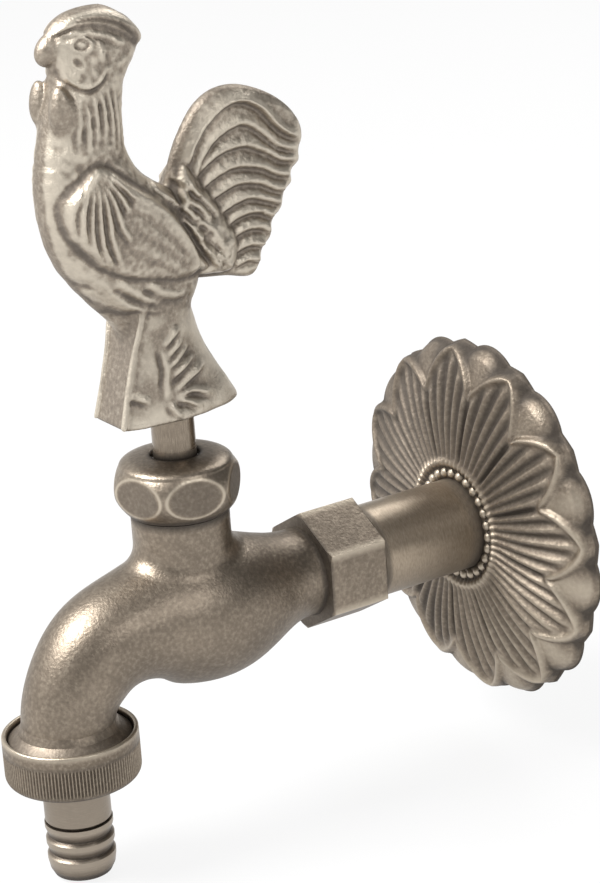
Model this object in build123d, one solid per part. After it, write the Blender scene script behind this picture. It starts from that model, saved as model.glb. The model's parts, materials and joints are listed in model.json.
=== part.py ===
from build123d import *
import math
import os

os.makedirs("parts", exist_ok=True)

# Ornamental garden tap with a cockerel for a handle, in aged brass. The origin is where the
# inlet axis meets the face of the wall. +Y points into the wall, -Y out along the spout and
# +Z up. All lengths are in millimetres.

# Angles in degrees
quarter_turn = 90
half_turn = 180
full_turn = 360

# Fits and cutters
thread_clearance = 0.08        # between a male and a female thread, on the radius
sliding_clearance = 0.1        # between a piece that slides and what it slides on
face_gap = 0.3                 # between faces that may not bear on each other
overrun = 1.0                  # how far a cutter passes the face that it opens

# Inlet extension, the straight sleeve between the wall and the hexagon
inlet_bore_radius = 6.5
inlet_thread_wall = 3.98       # up to the crests of a G 1/2 thread
inlet_thread_length = 13.0
inlet_thread_chamfer = 0.8
sleeve_step = 0.88             # shoulder that meets the wall fitting
sleeve_length = 38.4
sleeve_edge = 0.5
washer_seat_depth = 1.4        # fibre washer under the end of the spigot
spigot_wall = 1.83             # up to the crests of a G 3/8 thread
spigot_length = 12.4

# Hexagon of the cast body
hexagon_sides = 6
hex_turn = 30                  # turns the flats to face up and down
hex_land = 1.4                 # flats stand this far over the sleeve
hex_length = 16.2
hex_chamfer = 0.9
hex_groove_width = 0.7         # turned groove behind the hexagon
hex_groove_depth = 0.35

# Cast body
pipe_radius = 11.0
pipe_run = 31.84               # hexagon to valve axis
belly_radius = 17.3
spout_radius = 11.0
spout_offset = 33.76           # valve axis to spout axis
spout_drop = 27.0              # inlet axis down to the outlet face
spout_thread_wall = 6.6        # up to the crests of a G 3/4 thread
spout_thread_length = 4.2
spout_collar_land = 1.2
spout_collar_height = 1.0
spout_flare_height = 4.0
spout_flare_step = 0.1         # the flare starts this far inside the spout
neck_radius = 11.4
neck_top = 24.5                # shoulder under the bonnet nut
neck_root_radius = 5.5
outlet_bore_radius = 6.5
seat_height = 4.0
seat_lip_height = 1.0
seat_lip_width = 1.2
seat_bore_radius = 5.0
lower_passage_radius = 6.0
lower_passage_drop = 6.5

# Headwork, the screwed bush and spindle under the bonnet nut
stem_radius = 5.0
stem_showing = 10.2            # from the bonnet nut up to the cockerel's plinth
screw_crest = 1.5              # spindle screw over the stem
screw_head_room = 0.45         # left under the bush's crown when the tap is full open
screw_runout = 2.45
screw_pitch = 2.5
spindle_turns = 2.5
bush_barrel_wall = 1.42
bush_barrel_length = 14.4
bush_crown = 1.2
bush_flange_width = 1.9
bush_flange_thickness = 1.8
gasket_thickness = 0.8
neck_thread_wall = 1.9
neck_thread_length = 5.2
washer_disc_thickness = 3.0
washer_disc_margin = 0.3       # how far the seat washer passes the seat lip
jumper_disc_thickness = 2.0
jumper_rim = 0.3
jumper_pin_radius = 3.0
jumper_pin_length = 8.0
jumper_stud_radius = 1.5
washer_nut_flats = 5.5
washer_nut_thickness = 1.8
spindle_foot_gap = 0.05

# Bonnet nut
bonnet_wall = 3.4              # beyond the thread up to the flats
bonnet_barrel = 1.5            # the barrel stands this far over the flats
bonnet_height = 13.5
bonnet_crown = 2.3
bonnet_shoulder_step = 0.35    # where the crown meets the side, inside the flats
bonnet_web = 1.7
bonnet_hole_margin = 0.84
bonnet_turn = 16.5             # degrees from +X to the nearest corner
gland_radius = 8.2
gland_washer_thickness = 0.8

# Cockerel handle
figure_height = 94.3
figure_length = 67.0
figure_half_width = 11.0
plinth_lean = 7.8              # degrees that the front leans back
comb_size = (5.6, 13.2, 7.2)   # half axes of the ellipsoid that rounds the comb off
saddle_size = (6.0, 7.6, 11.0) # half axes of the back under the wings
tail_half_thickness = 2.4
tail_bulge = 0.9
feather_stand = 0.9            # raised feathers over the plate of the tail
wing_stand = 1.5               # folded wings over the flanks
wattle_size = (2.7, 2.9, 5.4)  # half axes
wattle_half_gap = 4.2
beak_length = 4.4
beak_radius = 2.2
beak_tip_radius = 0.6
beak_dip = 5.0                 # degrees that the beak points down
eye_radius = 1.25
eye_reach = 6.7                # from the middle plane
square_flats = 7.0
square_length = 10.0
socket_clearance = 0.05
stem_recess = 1.5
grub_radius = 2.0
grub_length = 3.4
grub_height = 6.4
grub_key_flats = 2.0
grub_key_depth = 2.0

# Wall rose
rose_radius = 45.5
rose_height = 9.3
rose_rim_height = 1.4
rose_sheet = 2.0
rose_foot = 1.2                # flat edge that meets the wall
rose_collar_height = 10.2
rose_collar_depth = 5.0
rose_collar_wall = 1.7
petal_count = 12
petal_turn = 6.0               # degrees from +X to the nearest petal tip
petal_margin = 1.0
petal_tip_margin = 1.2         # tips of the upper petals, inside the rose's radius
petal_notch = 9.3              # from a petal's tip in to the notch beside it
petal_bulge = 1.3
petal_stand = 1.2              # upper petals over the lower ones
petal_sink = 0.6
lobe_bulge = 0.9
flute_half_width = 1.7
flute_depth = 1.0
flute_gap = 3.8                # from the collar out to the flutes

# Hose union
union_wall = 2.57              # thread to the outside of the nut
union_height = 11.6
union_mouth_depth = 2.8
union_mouth_clearance = 0.4
union_lip = 1.6
union_edge = 2.2
union_top_band = 2.2
knurl_count = 60
knurl_half_width = 0.5
knurl_depth = 0.45
hose_washer_thickness = 1.8
tail_flange_thickness = 1.6
tail_radius = 7.93
tail_length = 25.3             # below the flange
tail_wall = 2.4
tail_neck_step = 0.2
tail_end_round = 1.6
barb_count = 3
barb_pitch = 4.05
barb_land = 1.2
barb_depth = 0.75
barb_end_length = 4.9


def ring_profile(*points):
    """Closed face on the XZ plane from (radius, height) corners."""
    return make_face(Polyline(*[(radius, 0, height) for radius, height in points], close=True))


def turned(*points):
    """Solid turned about Z from (radius, height) corners."""
    return revolve(ring_profile(*points), Axis.Z)


def ring(inner, outer, low, high):
    """Plain tube about Z."""
    return turned((inner, low), (outer, low), (outer, high), (inner, high))


def hexagon_bar(flat_radius, low, high):
    """Hexagonal bar about Z, flats at flat_radius from its axis."""
    section = RegularPolygon(flat_radius, hexagon_sides, major_radius=False)
    return extrude(Pos(0, 0, low) * section, high - low)


def from_wall(shape):
    """Turn a piece made about Z, heights being distances from the wall, on to the inlet axis."""
    return Rot(quarter_turn, 0, 0) * shape


# Sizes that follow from the ones above
inlet_thread_radius = inlet_bore_radius + inlet_thread_wall
sleeve_radius = inlet_thread_radius + sleeve_step
spigot_radius = inlet_bore_radius + spigot_wall
hex_flat_radius = sleeve_radius + hex_land
hex_corner_radius = hex_flat_radius / math.cos(math.radians(half_turn / hexagon_sides))
hex_front = sleeve_length + hex_length
valve_reach = hex_front + pipe_run
spout_reach = valve_reach + spout_offset
spigot_start = sleeve_length - spigot_length

screw_radius = stem_radius + screw_crest
bush_barrel_radius = screw_radius + thread_clearance + bush_barrel_wall
neck_bore_radius = bush_barrel_radius + sliding_clearance
bush_flange_radius = bush_barrel_radius + bush_flange_width
neck_thread_radius = neck_bore_radius + neck_thread_wall
neck_end = neck_top + neck_thread_length
flange_bottom = neck_end + gasket_thickness
flange_top = flange_bottom + bush_flange_thickness
bonnet_bottom = neck_top + face_gap
bonnet_top = bonnet_bottom + bonnet_height
bonnet_bore_radius = max(neck_thread_radius, bush_flange_radius) + thread_clearance
bonnet_flat_radius = bonnet_bore_radius + bonnet_wall
bonnet_barrel_radius = bonnet_flat_radius + bonnet_barrel
bonnet_hole_radius = stem_radius + bonnet_hole_margin
gland_top = bonnet_top - bonnet_web
spindle_lift = screw_pitch * spindle_turns

seat_lip_radius = seat_bore_radius + seat_lip_width
seat_washer_radius = seat_lip_radius + washer_disc_margin
jumper_disc_radius = seat_washer_radius + jumper_rim
jumper_bottom = seat_height + washer_disc_thickness
jumper_top = jumper_bottom + jumper_disc_thickness
spindle_foot = jumper_top + spindle_foot_gap
screw_bottom = spindle_foot + screw_runout
screw_top = flange_bottom - bush_crown - screw_head_room - spindle_lift
figure_base = bonnet_top + stem_showing
stem_shoulder = figure_base + stem_recess

spout_thread_radius = outlet_bore_radius + spout_thread_wall
spout_collar_radius = spout_thread_radius + spout_collar_land
thread_top = spout_thread_length - spout_drop
collar_top = thread_top + spout_collar_height
union_bore_radius = spout_thread_radius + thread_clearance
union_radius = union_bore_radius + union_wall
washer_bottom = -spout_drop - hose_washer_thickness
flange_face = washer_bottom - tail_flange_thickness
union_bottom = flange_face - union_lip
union_top = union_bottom + union_height
tail_neck_radius = tail_radius - tail_neck_step
tail_bore_radius = tail_radius - tail_wall
tail_end = flange_face - tail_length

rose_bore_radius = sleeve_radius + sliding_clearance
rose_collar_radius = rose_bore_radius + rose_collar_wall
petal_tip_radius = rose_radius - petal_tip_margin
petal_valley_radius = petal_tip_radius - petal_notch
flute_start = rose_collar_radius + flute_gap


def inlet_extension():
    """Sleeve with a male thread into the wall and a female thread for the body's spigot."""
    seat = spigot_start - washer_seat_depth
    thread_bore = spigot_radius + thread_clearance
    return from_wall(turned(
        (inlet_bore_radius, -inlet_thread_length),
        (inlet_thread_radius - inlet_thread_chamfer, -inlet_thread_length),
        (inlet_thread_radius, inlet_thread_chamfer - inlet_thread_length),
        (inlet_thread_radius, 0),
        (sleeve_radius, 0),
        (sleeve_radius, sleeve_length - sleeve_edge),
        (sleeve_radius - sleeve_edge, sleeve_length),
        (thread_bore, sleeve_length),
        (thread_bore, seat),
        (inlet_bore_radius, seat),
    ))


def extension_washer():
    """Flat fibre ring that the end of the spigot presses on."""
    bottom = spigot_start - washer_seat_depth
    return from_wall(ring(inlet_bore_radius, spigot_radius, bottom, spigot_start))


# Sections of the cast body from the hexagon to the valve axis: share of that run, share of
# the belly's swell over the pipe, and how far the centre hangs as a share of the belly
inlet_run_shares = (
    (-0.03, 0.0, 0.0),
    (0.2, 0.05, 0.0),
    (0.45, 0.51, 0.035),
    (0.72, 0.92, 0.045),
)
# Sections from the valve axis to the spout: share of the offset out, share of the belly's
# swell over the spout, share of the drop to the thread, and the share of a right angle
# that the section is tilted by
spout_run_shares = (
    (0.0, 0.98, 0.027, 0.0),
    (0.25, 0.72, 0.027, 0.05),
    (0.48, 0.44, 0.048, 0.25),
    (0.68, 0.27, 0.11, 0.4),
    (0.86, 0.12, 0.32, 0.62),
    (0.965, 0.03, 0.58, 0.86),
    (1.0, 0.0, 0.85, 0.98),
)
# Centre of the outlet passage: share of the offset, share of the drop to the thread,
# share of its full radius, and tilt as a share of a right angle
outlet_run_shares = (
    (0.05, -0.39, 0.82, 0.17),
    (0.31, -0.26, 0.86, 0.28),
    (0.58, -0.04, 0.92, 0.36),
    (0.83, 0.28, 0.96, 0.58),
    (1.0, 0.76, 1.0, 1.0),
)


def section(reach, height, radius, tilt_share):
    """Circle across the body at a distance from the wall, tilted over towards the spout."""
    tilt = math.radians(quarter_turn * tilt_share)
    across = Plane(
        origin=(0, -reach, height), x_dir=(1, 0, 0), z_dir=(0, -math.cos(tilt), -math.sin(tilt))
    )
    return across * Circle(radius)


def body_run():
    """Outer form of the casting, from the hexagon over the belly to the spout."""
    faces = []
    for run, swell, hang in inlet_run_shares:
        radius = pipe_radius + swell * (belly_radius - pipe_radius)
        faces.append(section(hex_front + run * pipe_run, -hang * belly_radius, radius, 0))
    for out, swell, drop, tilt in spout_run_shares:
        radius = spout_radius + swell * (belly_radius - spout_radius)
        reach = valve_reach + out * spout_offset
        faces.append(section(reach, drop * thread_top, radius, tilt))
    return loft(faces)


def outlet_passage():
    """Waterway from the chamber over the seat, round and down through the spout."""
    faces = []
    for out, drop, radius, tilt in outlet_run_shares:
        reach = valve_reach + out * spout_offset
        faces.append(section(reach, drop * thread_top, radius * outlet_bore_radius, tilt))
    top = outlet_run_shares[-1][1] * thread_top
    down = Pos(0, -spout_reach, top) * Rot(half_turn, 0, 0) * Cylinder(
        outlet_bore_radius, top + spout_drop + overrun, align=(Align.CENTER, Align.CENTER, Align.MIN)
    )
    return loft(faces) + down


def inlet_passage():
    """Waterway from the spigot, dipping under the seat."""
    dip_start = hex_front
    straight = from_wall(Pos(0, 0, spigot_start - overrun) * Cylinder(
        inlet_bore_radius, dip_start - spigot_start + overrun, align=(Align.CENTER, Align.CENTER, Align.MIN)
    ))
    start = Vector(0, -dip_start, 0)
    end = Vector(0, -valve_reach, -lower_passage_drop)
    slope = Plane(origin=start, z_dir=end - start)
    dip = slope * Cylinder(
        lower_passage_radius, (end - start).length, align=(Align.CENTER, Align.CENTER, Align.MIN)
    )
    bends = [Pos(*place) * Sphere(lower_passage_radius) for place in (start, end)]
    return straight + dip + bends


def seat_chamber():
    """Hollow over the seat, with the raised seat lip left standing and the seat bore through."""
    floor = seat_height - seat_lip_height
    return Pos(0, -valve_reach, 0) * turned(
        (0, -lower_passage_drop),
        (seat_bore_radius, -lower_passage_drop),
        (seat_bore_radius, seat_height),
        (seat_lip_radius, seat_height),
        (seat_lip_radius, floor),
        (neck_bore_radius, floor),
        (neck_bore_radius, neck_end + overrun),
        (0, neck_end + overrun),
    )


def tap_body():
    """One casting: spigot, hexagon, belly with its neck, and the spout with its thread."""
    run = body_run()
    neck = Pos(0, -valve_reach, 0) * Cylinder(
        neck_radius, neck_top, align=(Align.CENTER, Align.CENTER, Align.MIN)
    )
    cast = run + neck
    cast = fillet(new_edges(run, neck, combined=cast), neck_root_radius)

    groove_radius = hex_flat_radius - hex_land - hex_groove_depth
    hexagon = hexagon_bar(hex_flat_radius, sleeve_length, hex_front) & turned(
        (0, sleeve_length),
        (hex_corner_radius - hex_chamfer, sleeve_length),
        (hex_corner_radius, sleeve_length + hex_chamfer / 2),
        (hex_corner_radius, hex_front - hex_chamfer / 2),
        (hex_corner_radius - hex_chamfer, hex_front),
        (0, hex_front),
    )
    root = ring(groove_radius, hex_corner_radius, sleeve_length, sleeve_length + hex_groove_width)
    spigot = ring(inlet_bore_radius, spigot_radius, spigot_start, sleeve_length + hex_groove_width)
    inlet = from_wall(Rot(0, 0, hex_turn) * (hexagon - root) + spigot)

    threads = Pos(0, -valve_reach, 0) * ring(
        neck_bore_radius, neck_thread_radius, neck_top - overrun, neck_end
    )
    flare = spout_collar_radius - spout_radius
    outlet = Pos(0, -spout_reach, 0) * turned(
        (0, collar_top + spout_flare_height),
        (spout_radius - spout_flare_step, collar_top + spout_flare_height),
        (spout_radius + flare / 4, collar_top + spout_flare_height / 2),
        (spout_collar_radius, collar_top),
        (spout_collar_radius, thread_top),
        (spout_thread_radius, thread_top),
        (spout_thread_radius, -spout_drop),
        (0, -spout_drop),
    )
    cast = cast + inlet + threads + outlet
    return cast - inlet_passage() - seat_chamber() - outlet_passage()


def at_valve(shape):
    """Place a piece made about Z on the valve axis."""
    return Pos(0, -valve_reach, 0) * shape


def at_spout(shape):
    """Place a piece made about Z on the spout axis."""
    return Pos(0, -spout_reach, 0) * shape


def headwork_bush():
    """Flanged bush with the female screw for the spindle, held down by the bonnet nut."""
    bore = screw_radius + thread_clearance
    hole = stem_radius + sliding_clearance
    bottom = flange_bottom - bush_barrel_length
    return at_valve(turned(
        (bore, bottom),
        (bush_barrel_radius, bottom),
        (bush_barrel_radius, flange_bottom),
        (bush_flange_radius, flange_bottom),
        (bush_flange_radius, flange_top),
        (hole, flange_top),
        (hole, flange_bottom - bush_crown),
        (bore, flange_bottom - bush_crown),
    ))


def headwork_gasket():
    """Fibre ring between the neck and the bush's flange."""
    outer = min(bush_flange_radius, neck_thread_radius)
    return at_valve(ring(neck_bore_radius, outer, neck_end, flange_bottom))


def gland_washer():
    """Thin brass ring under the packing."""
    return at_valve(ring(
        stem_radius + sliding_clearance, gland_radius - sliding_clearance,
        flange_top, flange_top + gland_washer_thickness,
    ))


def gland_packing():
    """Ring that seals the stem, pressed down by the bonnet nut's web."""
    return at_valve(ring(
        stem_radius + sliding_clearance, gland_radius - sliding_clearance,
        flange_top + gland_washer_thickness, gland_top,
    ))


def bonnet_nut():
    """Barrel-shaped hexagon nut with a crowned top, whose flats show as ovals."""
    side_top = bonnet_top - bonnet_crown
    foot = bonnet_bore_radius + bonnet_wall / 2
    middle = (bonnet_bottom + side_top) / 2
    rim = (bonnet_hole_radius, 0, bonnet_top)
    crown = ((bonnet_hole_radius + bonnet_flat_radius) / 2, 0, bonnet_top - bonnet_crown / 4)
    shoulder = (bonnet_flat_radius - bonnet_shoulder_step, 0, side_top)
    outline = [
        Line((bonnet_hole_radius, 0, gland_top), rim),
        ThreePointArc(rim, crown, shoulder),
        ThreePointArc(shoulder, (bonnet_barrel_radius, 0, middle), (foot, 0, bonnet_bottom)),
    ]
    outline.append(Polyline(
        (foot, 0, bonnet_bottom), (bonnet_bore_radius, 0, bonnet_bottom), (bonnet_bore_radius, 0, flange_top),
        (gland_radius, 0, flange_top), (gland_radius, 0, gland_top), (bonnet_hole_radius, 0, gland_top),
    ))
    barrel = revolve(make_face(outline), Axis.Z)
    flats = Rot(0, 0, bonnet_turn) * hexagon_bar(
        bonnet_flat_radius, bonnet_bottom - overrun, bonnet_top + overrun
    )
    return at_valve(barrel & flats)


def spindle():
    """Stem with its screw, a bored foot for the jumper and a square for the handle."""
    pin_bore = jumper_pin_radius + sliding_clearance
    root = screw_radius - screw_crest / 2
    stem = turned(
        (pin_bore, spindle_foot),
        (root, spindle_foot),
        (root, screw_bottom),
        (screw_radius, screw_bottom),
        (screw_radius, screw_top),
        (stem_radius, screw_top),
        (stem_radius, stem_shoulder),
        (0, stem_shoulder),
        (0, jumper_top + jumper_pin_length + overrun),
        (pin_bore, jumper_top + jumper_pin_length + overrun),
    )
    square = extrude(Pos(0, 0, stem_shoulder) * Rectangle(square_flats, square_flats), square_length)
    return at_valve(stem + square)


def jumper_valve():
    """Disc with a pin up into the spindle and a stud down for the washer."""
    stud_bottom = seat_height - washer_nut_thickness - face_gap
    return at_valve(turned(
        (0, stud_bottom),
        (jumper_stud_radius, stud_bottom),
        (jumper_stud_radius, jumper_bottom),
        (jumper_disc_radius, jumper_bottom),
        (jumper_disc_radius, jumper_top),
        (jumper_pin_radius, jumper_top),
        (jumper_pin_radius, jumper_top + jumper_pin_length),
        (0, jumper_top + jumper_pin_length),
    ))


def seat_washer():
    """Rubber disc that closes on the seat lip."""
    return at_valve(ring(jumper_stud_radius, seat_washer_radius, seat_height, jumper_bottom))


def washer_nut():
    """Small nut under the rubber disc, inside the seat bore."""
    bottom = seat_height - washer_nut_thickness
    bar = hexagon_bar(washer_nut_flats / 2, bottom, seat_height)
    return at_valve(bar - ring(0, jumper_stud_radius, bottom - overrun, seat_height + overrun))


def hose_union_nut():
    """Knurled nut over the spout's thread that draws the hose tail up."""
    mouth = spout_collar_radius + union_mouth_clearance
    hole = tail_radius + sliding_clearance
    wall_edge = union_radius - mouth
    profile = ring_profile(
        (hole, union_bottom),
        (union_radius, union_bottom),
        (union_radius, union_top - wall_edge / 2),
        (union_radius - wall_edge / 2, union_top),
        (mouth, union_top),
        (mouth, union_top - union_mouth_depth),
        (union_bore_radius, union_top - union_mouth_depth),
        (union_bore_radius, flange_face),
        (hole, flange_face),
    )
    corner = profile.vertices().sort_by(Axis.X)[-2:].sort_by(Axis.Z)[0]
    nut = revolve(fillet(corner, union_edge), Axis.Z)
    notch = Polyline(
        (union_radius - knurl_depth, 0),
        (union_radius + knurl_depth, -2 * knurl_half_width),
        (union_radius + knurl_depth, 2 * knurl_half_width),
        close=True,
    )
    groove = extrude(
        Pos(0, 0, union_bottom + union_edge) * make_face(notch), union_height - union_edge - union_top_band
    )
    knurl = [Rot(0, 0, full_turn * i / knurl_count) * groove for i in range(knurl_count)]
    return at_spout(nut - knurl)


def hose_washer():
    """Rubber ring between the outlet face and the tail's flange."""
    return at_spout(ring(
        outlet_bore_radius, union_bore_radius - face_gap, washer_bottom, -spout_drop
    ))


def hose_tail():
    """Flanged tail with three barbs for the hose."""
    flange_radius = union_bore_radius - face_gap
    points = [
        (tail_bore_radius, washer_bottom),
        (flange_radius, washer_bottom),
        (flange_radius, flange_face),
        (tail_neck_radius, flange_face),
    ]
    first = tail_end + barb_end_length + (barb_count - 1) * barb_pitch
    for i in range(barb_count):
        crest = first - i * barb_pitch
        above = tail_neck_radius if i == 0 else tail_radius - barb_depth
        points.append((above, crest + barb_depth))
        if i == 0:
            points.append((tail_radius - barb_depth, crest))
        points.append((tail_radius, crest))
        points.append((tail_radius, crest - barb_land))
    points.append((tail_radius - barb_depth / 2, tail_end + tail_end_round))
    points.append((tail_bore_radius + tail_wall / 2, tail_end))
    points.append((tail_bore_radius, tail_end))
    return at_spout(turned(*points))


# Grooves of each petal: place across it and where they end as a share of the rose's radius
flute_shares = ((-0.2, 0.8), (0.2, 0.8))
# The plinth as level ellipses, before its front is cut flat: share of the figure's height,
# front and back as shares of its length, and half width as a share of the figure's
plinth_shares = (
    (0.0, -0.321, 0.254, 0.77),
    (0.09, -0.291, 0.185, 0.68),
    (0.185, -0.269, 0.121, 0.58),
    (0.285, -0.254, 0.085, 0.5),
)
plinth_front_share = -0.243
# The trunk, neck and head the same way, from inside the plinth up to the crown
body_shares = (
    (0.207, -0.16, 0.055, 0.4),
    (0.313, -0.282, 0.134, 0.75),
    (0.387, -0.358, 0.149, 0.88),
    (0.461, -0.404, 0.119, 0.95),
    (0.536, -0.422, 0.06, 0.95),
    (0.599, -0.425, -0.051, 0.85),
    (0.673, -0.409, -0.105, 0.73),
    (0.76, -0.376, -0.11, 0.65),
    (0.86, -0.343, -0.085, 0.61),
    (0.928, -0.343, -0.05, 0.57),
    (0.965, -0.313, -0.06, 0.4),
)
# Outlines in the plane of symmetry, as shares of the figure's length and height
comb_top_shares = (
    (-0.337, 0.943), (-0.319, 0.966), (-0.29, 0.985), (-0.233, 0.999), (-0.146, 1.0),
    (-0.078, 0.975), (-0.021, 0.936), (-0.004, 0.911), (-0.021, 0.895),
)
comb_low_shares = (
    (-0.021, 0.895), (-0.06, 0.89), (-0.097, 0.913), (-0.157, 0.941), (-0.224, 0.953),
    (-0.291, 0.945), (-0.337, 0.943),
)
tail_top_shares = (
    (0.03, 0.53), (0.084, 0.615), (0.128, 0.676), (0.188, 0.725), (0.263, 0.752), (0.352, 0.751),
    (0.457, 0.72), (0.537, 0.678), (0.581, 0.631), (0.59, 0.595), (0.576, 0.565),
)
tail_scallop_shares = (
    (0.576, 0.565), (0.542, 0.52), (0.506, 0.47), (0.451, 0.405), (0.405, 0.34), (0.343, 0.283),
)
tail_low_shares = ((0.343, 0.283), (0.25, 0.297), (0.15, 0.307), (0.03, 0.32))
# Sickle feathers raised on both sides of the tail: root, highest point, tip, and depth there
feather_shares = (
    ((0.12, 0.6), (0.33, 0.728), (0.565, 0.605), 0.021),
    ((0.128, 0.553), (0.313, 0.613), (0.553, 0.558), 0.018),
    ((0.143, 0.535), (0.313, 0.567), (0.525, 0.517), 0.016),
    ((0.173, 0.498), (0.321, 0.531), (0.493, 0.486), 0.016),
    ((0.206, 0.458), (0.343, 0.49), (0.484, 0.459), 0.015),
    ((0.23, 0.43), (0.351, 0.462), (0.463, 0.43), 0.014),
    ((0.239, 0.399), (0.343, 0.418), (0.442, 0.413), 0.013),
    ((0.266, 0.363), (0.343, 0.372), (0.427, 0.371), 0.012),
)
wing_shares = (
    (-0.318, 0.633), (-0.272, 0.652), (-0.23, 0.644), (-0.149, 0.599), (-0.063, 0.548),
    (0.006, 0.499), (0.069, 0.44), (0.122, 0.372), (0.133, 0.349),
)
wing_low_shares = (
    (0.133, 0.349), (0.022, 0.347), (-0.09, 0.363), (-0.182, 0.379), (-0.304, 0.425),
    (-0.364, 0.487), (-0.391, 0.555), (-0.37, 0.603), (-0.318, 0.633),
)
# Centres of the smaller forms
comb_share = (-0.179, 0.928)
saddle_share = (0.125, 0.453)
wattle_share = (-0.349, 0.786)
beak_share = (-0.305, 0.926)
eye_share = (-0.255, 0.93)


def spot(length_share, height_share, side=0.0):
    """Point of the cockerel from shares of its length and height, beside the middle plane."""
    return (side, length_share * figure_length, figure_base + height_share * figure_height)


def ellipse_stack(shares, extra=0.0):
    """Loft through level ellipses, each grown by extra all round."""
    faces = []
    for height, front, back, half_width in shares:
        middle = spot((front + back) / 2, height)
        depth = (back - front) / 2 * figure_length + extra
        faces.append(Pos(*middle) * Ellipse(half_width * figure_half_width + extra, depth))
    return loft(faces)


def side_plate(edges, low, high):
    """Plate between two distances beside the middle plane, from edges drawn on that plane."""
    face = make_face(edges)
    return extrude(Pos(low, 0, 0) * face, high - low, dir=(1, 0, 0))


def scallops(shares, bulge):
    """Arcs from point to point, each bulging outwards."""
    arcs = []
    for (y1, z1), (y2, z2) in zip(shares, shares[1:]):
        start, end = Vector(*spot(y1, z1)), Vector(*spot(y2, z2))
        along = (end - start).normalized()
        outward = Vector(0, -along.Z, along.Y)
        arcs.append(ThreePointArc(start, (start + end) / 2 + outward * bulge, end))
    return arcs


def curved_plate(top_shares, low_shares, half_thickness):
    """Plate across the middle plane between two curves that share their ends."""
    edges = [Spline(*[spot(*p) for p in shares]) for shares in (top_shares, low_shares)]
    return side_plate(edges, -half_thickness, half_thickness)


def rounded_form(shares, size):
    """Ellipsoid on the middle plane."""
    return Pos(*spot(*shares)) * scale(Sphere(1), by=size)


def tail():
    """Fan of sickle feathers: a plate with a scalloped rear edge and raised crescents."""
    edges = [Spline(*[spot(*p) for p in tail_top_shares])]
    edges += scallops(tail_scallop_shares, tail_bulge)
    edges.append(Spline(*[spot(*p) for p in tail_low_shares]))
    edges.append(Line(spot(*tail_low_shares[-1]), spot(*tail_top_shares[0])))
    fan = side_plate(edges, -tail_half_thickness, tail_half_thickness)
    reach = tail_half_thickness + feather_stand
    for root, middle, tip, depth in feather_shares:
        low = (middle[0], middle[1] - depth)
        crescent = [
            ThreePointArc(spot(*root), spot(*middle), spot(*tip)),
            ThreePointArc(spot(*tip), spot(*low), spot(*root)),
        ]
        fan = fan + side_plate(crescent, -reach, reach)
    return fan


def plinth():
    """Flared plinth under the legs, its front cut flat and leaning back."""
    foot = ellipse_stack(plinth_shares)
    front = Pos(*spot(plinth_front_share, 0)) * Rot(-plinth_lean, 0, 0) * Box(
        figure_length, figure_length, 2 * figure_height, align=(Align.CENTER, Align.MAX, Align.CENTER)
    )
    return foot - front


def comb():
    """Comb that sits on the head like a cap and overhangs behind."""
    plate = curved_plate(comb_top_shares, comb_low_shares, figure_half_width)
    return plate & rounded_form(comb_share, comb_size)


def wing():
    """Folded wing, a leaf-shaped part of the flank that stands proud on each side."""
    plate = curved_plate(wing_shares, wing_low_shares, 2 * figure_half_width)
    saddle = rounded_form(saddle_share, tuple(size + wing_stand for size in saddle_size))
    return plate & ellipse_stack(body_shares, wing_stand) + plate & saddle


def rooster_handle():
    """The whole casting of the cockerel on its plinth, with the socket for the spindle."""
    figure = plinth() + ellipse_stack(body_shares)
    figure = figure + rounded_form(saddle_share, saddle_size) + tail()
    figure = figure + wing() + comb()
    for side in (-1, 1):
        wattle = scale(Sphere(1), by=wattle_size)
        figure = figure + Pos(*spot(*wattle_share, side * wattle_half_gap)) * wattle
    figure = figure + Pos(*spot(*eye_share)) * Rot(0, quarter_turn, 0) * Cylinder(eye_radius, 2 * eye_reach)
    beak = Cone(beak_radius, beak_tip_radius, beak_length, align=(Align.CENTER, Align.CENTER, Align.MIN))
    figure = figure + Pos(*spot(*beak_share)) * Rot(quarter_turn + beak_dip, 0, 0) * beak

    stem_hole = ring(0, stem_radius + sliding_clearance, figure_base - overrun, stem_shoulder)
    side = square_flats + 2 * socket_clearance
    socket = extrude(
        Pos(0, 0, stem_shoulder) * Rectangle(side, side), square_length + socket_clearance
    )
    grub_hole = Pos(0, 0, figure_base + grub_height) * Rot(0, -quarter_turn, 0) * Cylinder(
        grub_radius + thread_clearance, figure_half_width, align=(Align.CENTER, Align.CENTER, Align.MIN)
    )
    return at_valve(figure - stem_hole - socket - grub_hole)


def handle_screw():
    """Grub screw from the side of the plinth on to a face of the square."""
    screw = Cylinder(grub_radius, grub_length, align=(Align.CENTER, Align.CENTER, Align.MIN))
    key = hexagon_bar(grub_key_flats / 2, grub_length - grub_key_depth, grub_length + overrun)
    place = Pos(-square_flats / 2, 0, figure_base + grub_height) * Rot(0, -quarter_turn, 0)
    return at_valve(place * (screw - key))


def petal_star(valley_radius, tip_radius, count, turn, bulge):
    """Face with pointed petals all round, each side of a petal an arc."""
    edges = []
    step = half_turn / count
    for i in range(2 * count):
        radii = (tip_radius, valley_radius) if i % 2 == 0 else (valley_radius, tip_radius)
        angles = [math.radians(turn + (i + k) * step) for k in (0, 1)]
        start, end = [
            Vector(r * math.cos(a), r * math.sin(a)) for r, a in zip(radii, angles)
        ]
        middle = (start + end) / 2
        outward = middle.normalized()
        edges.append(ThreePointArc(start, middle + outward * bulge, end))
    return make_face(edges)


def dome_height(radius):
    """Height of the rose's upper face at a radius, an ellipse quadrant from collar to rim."""
    share = radius / rose_radius
    return rose_rim_height + (rose_height - rose_rim_height) * math.sqrt(max(0, 1 - share * share))


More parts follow.
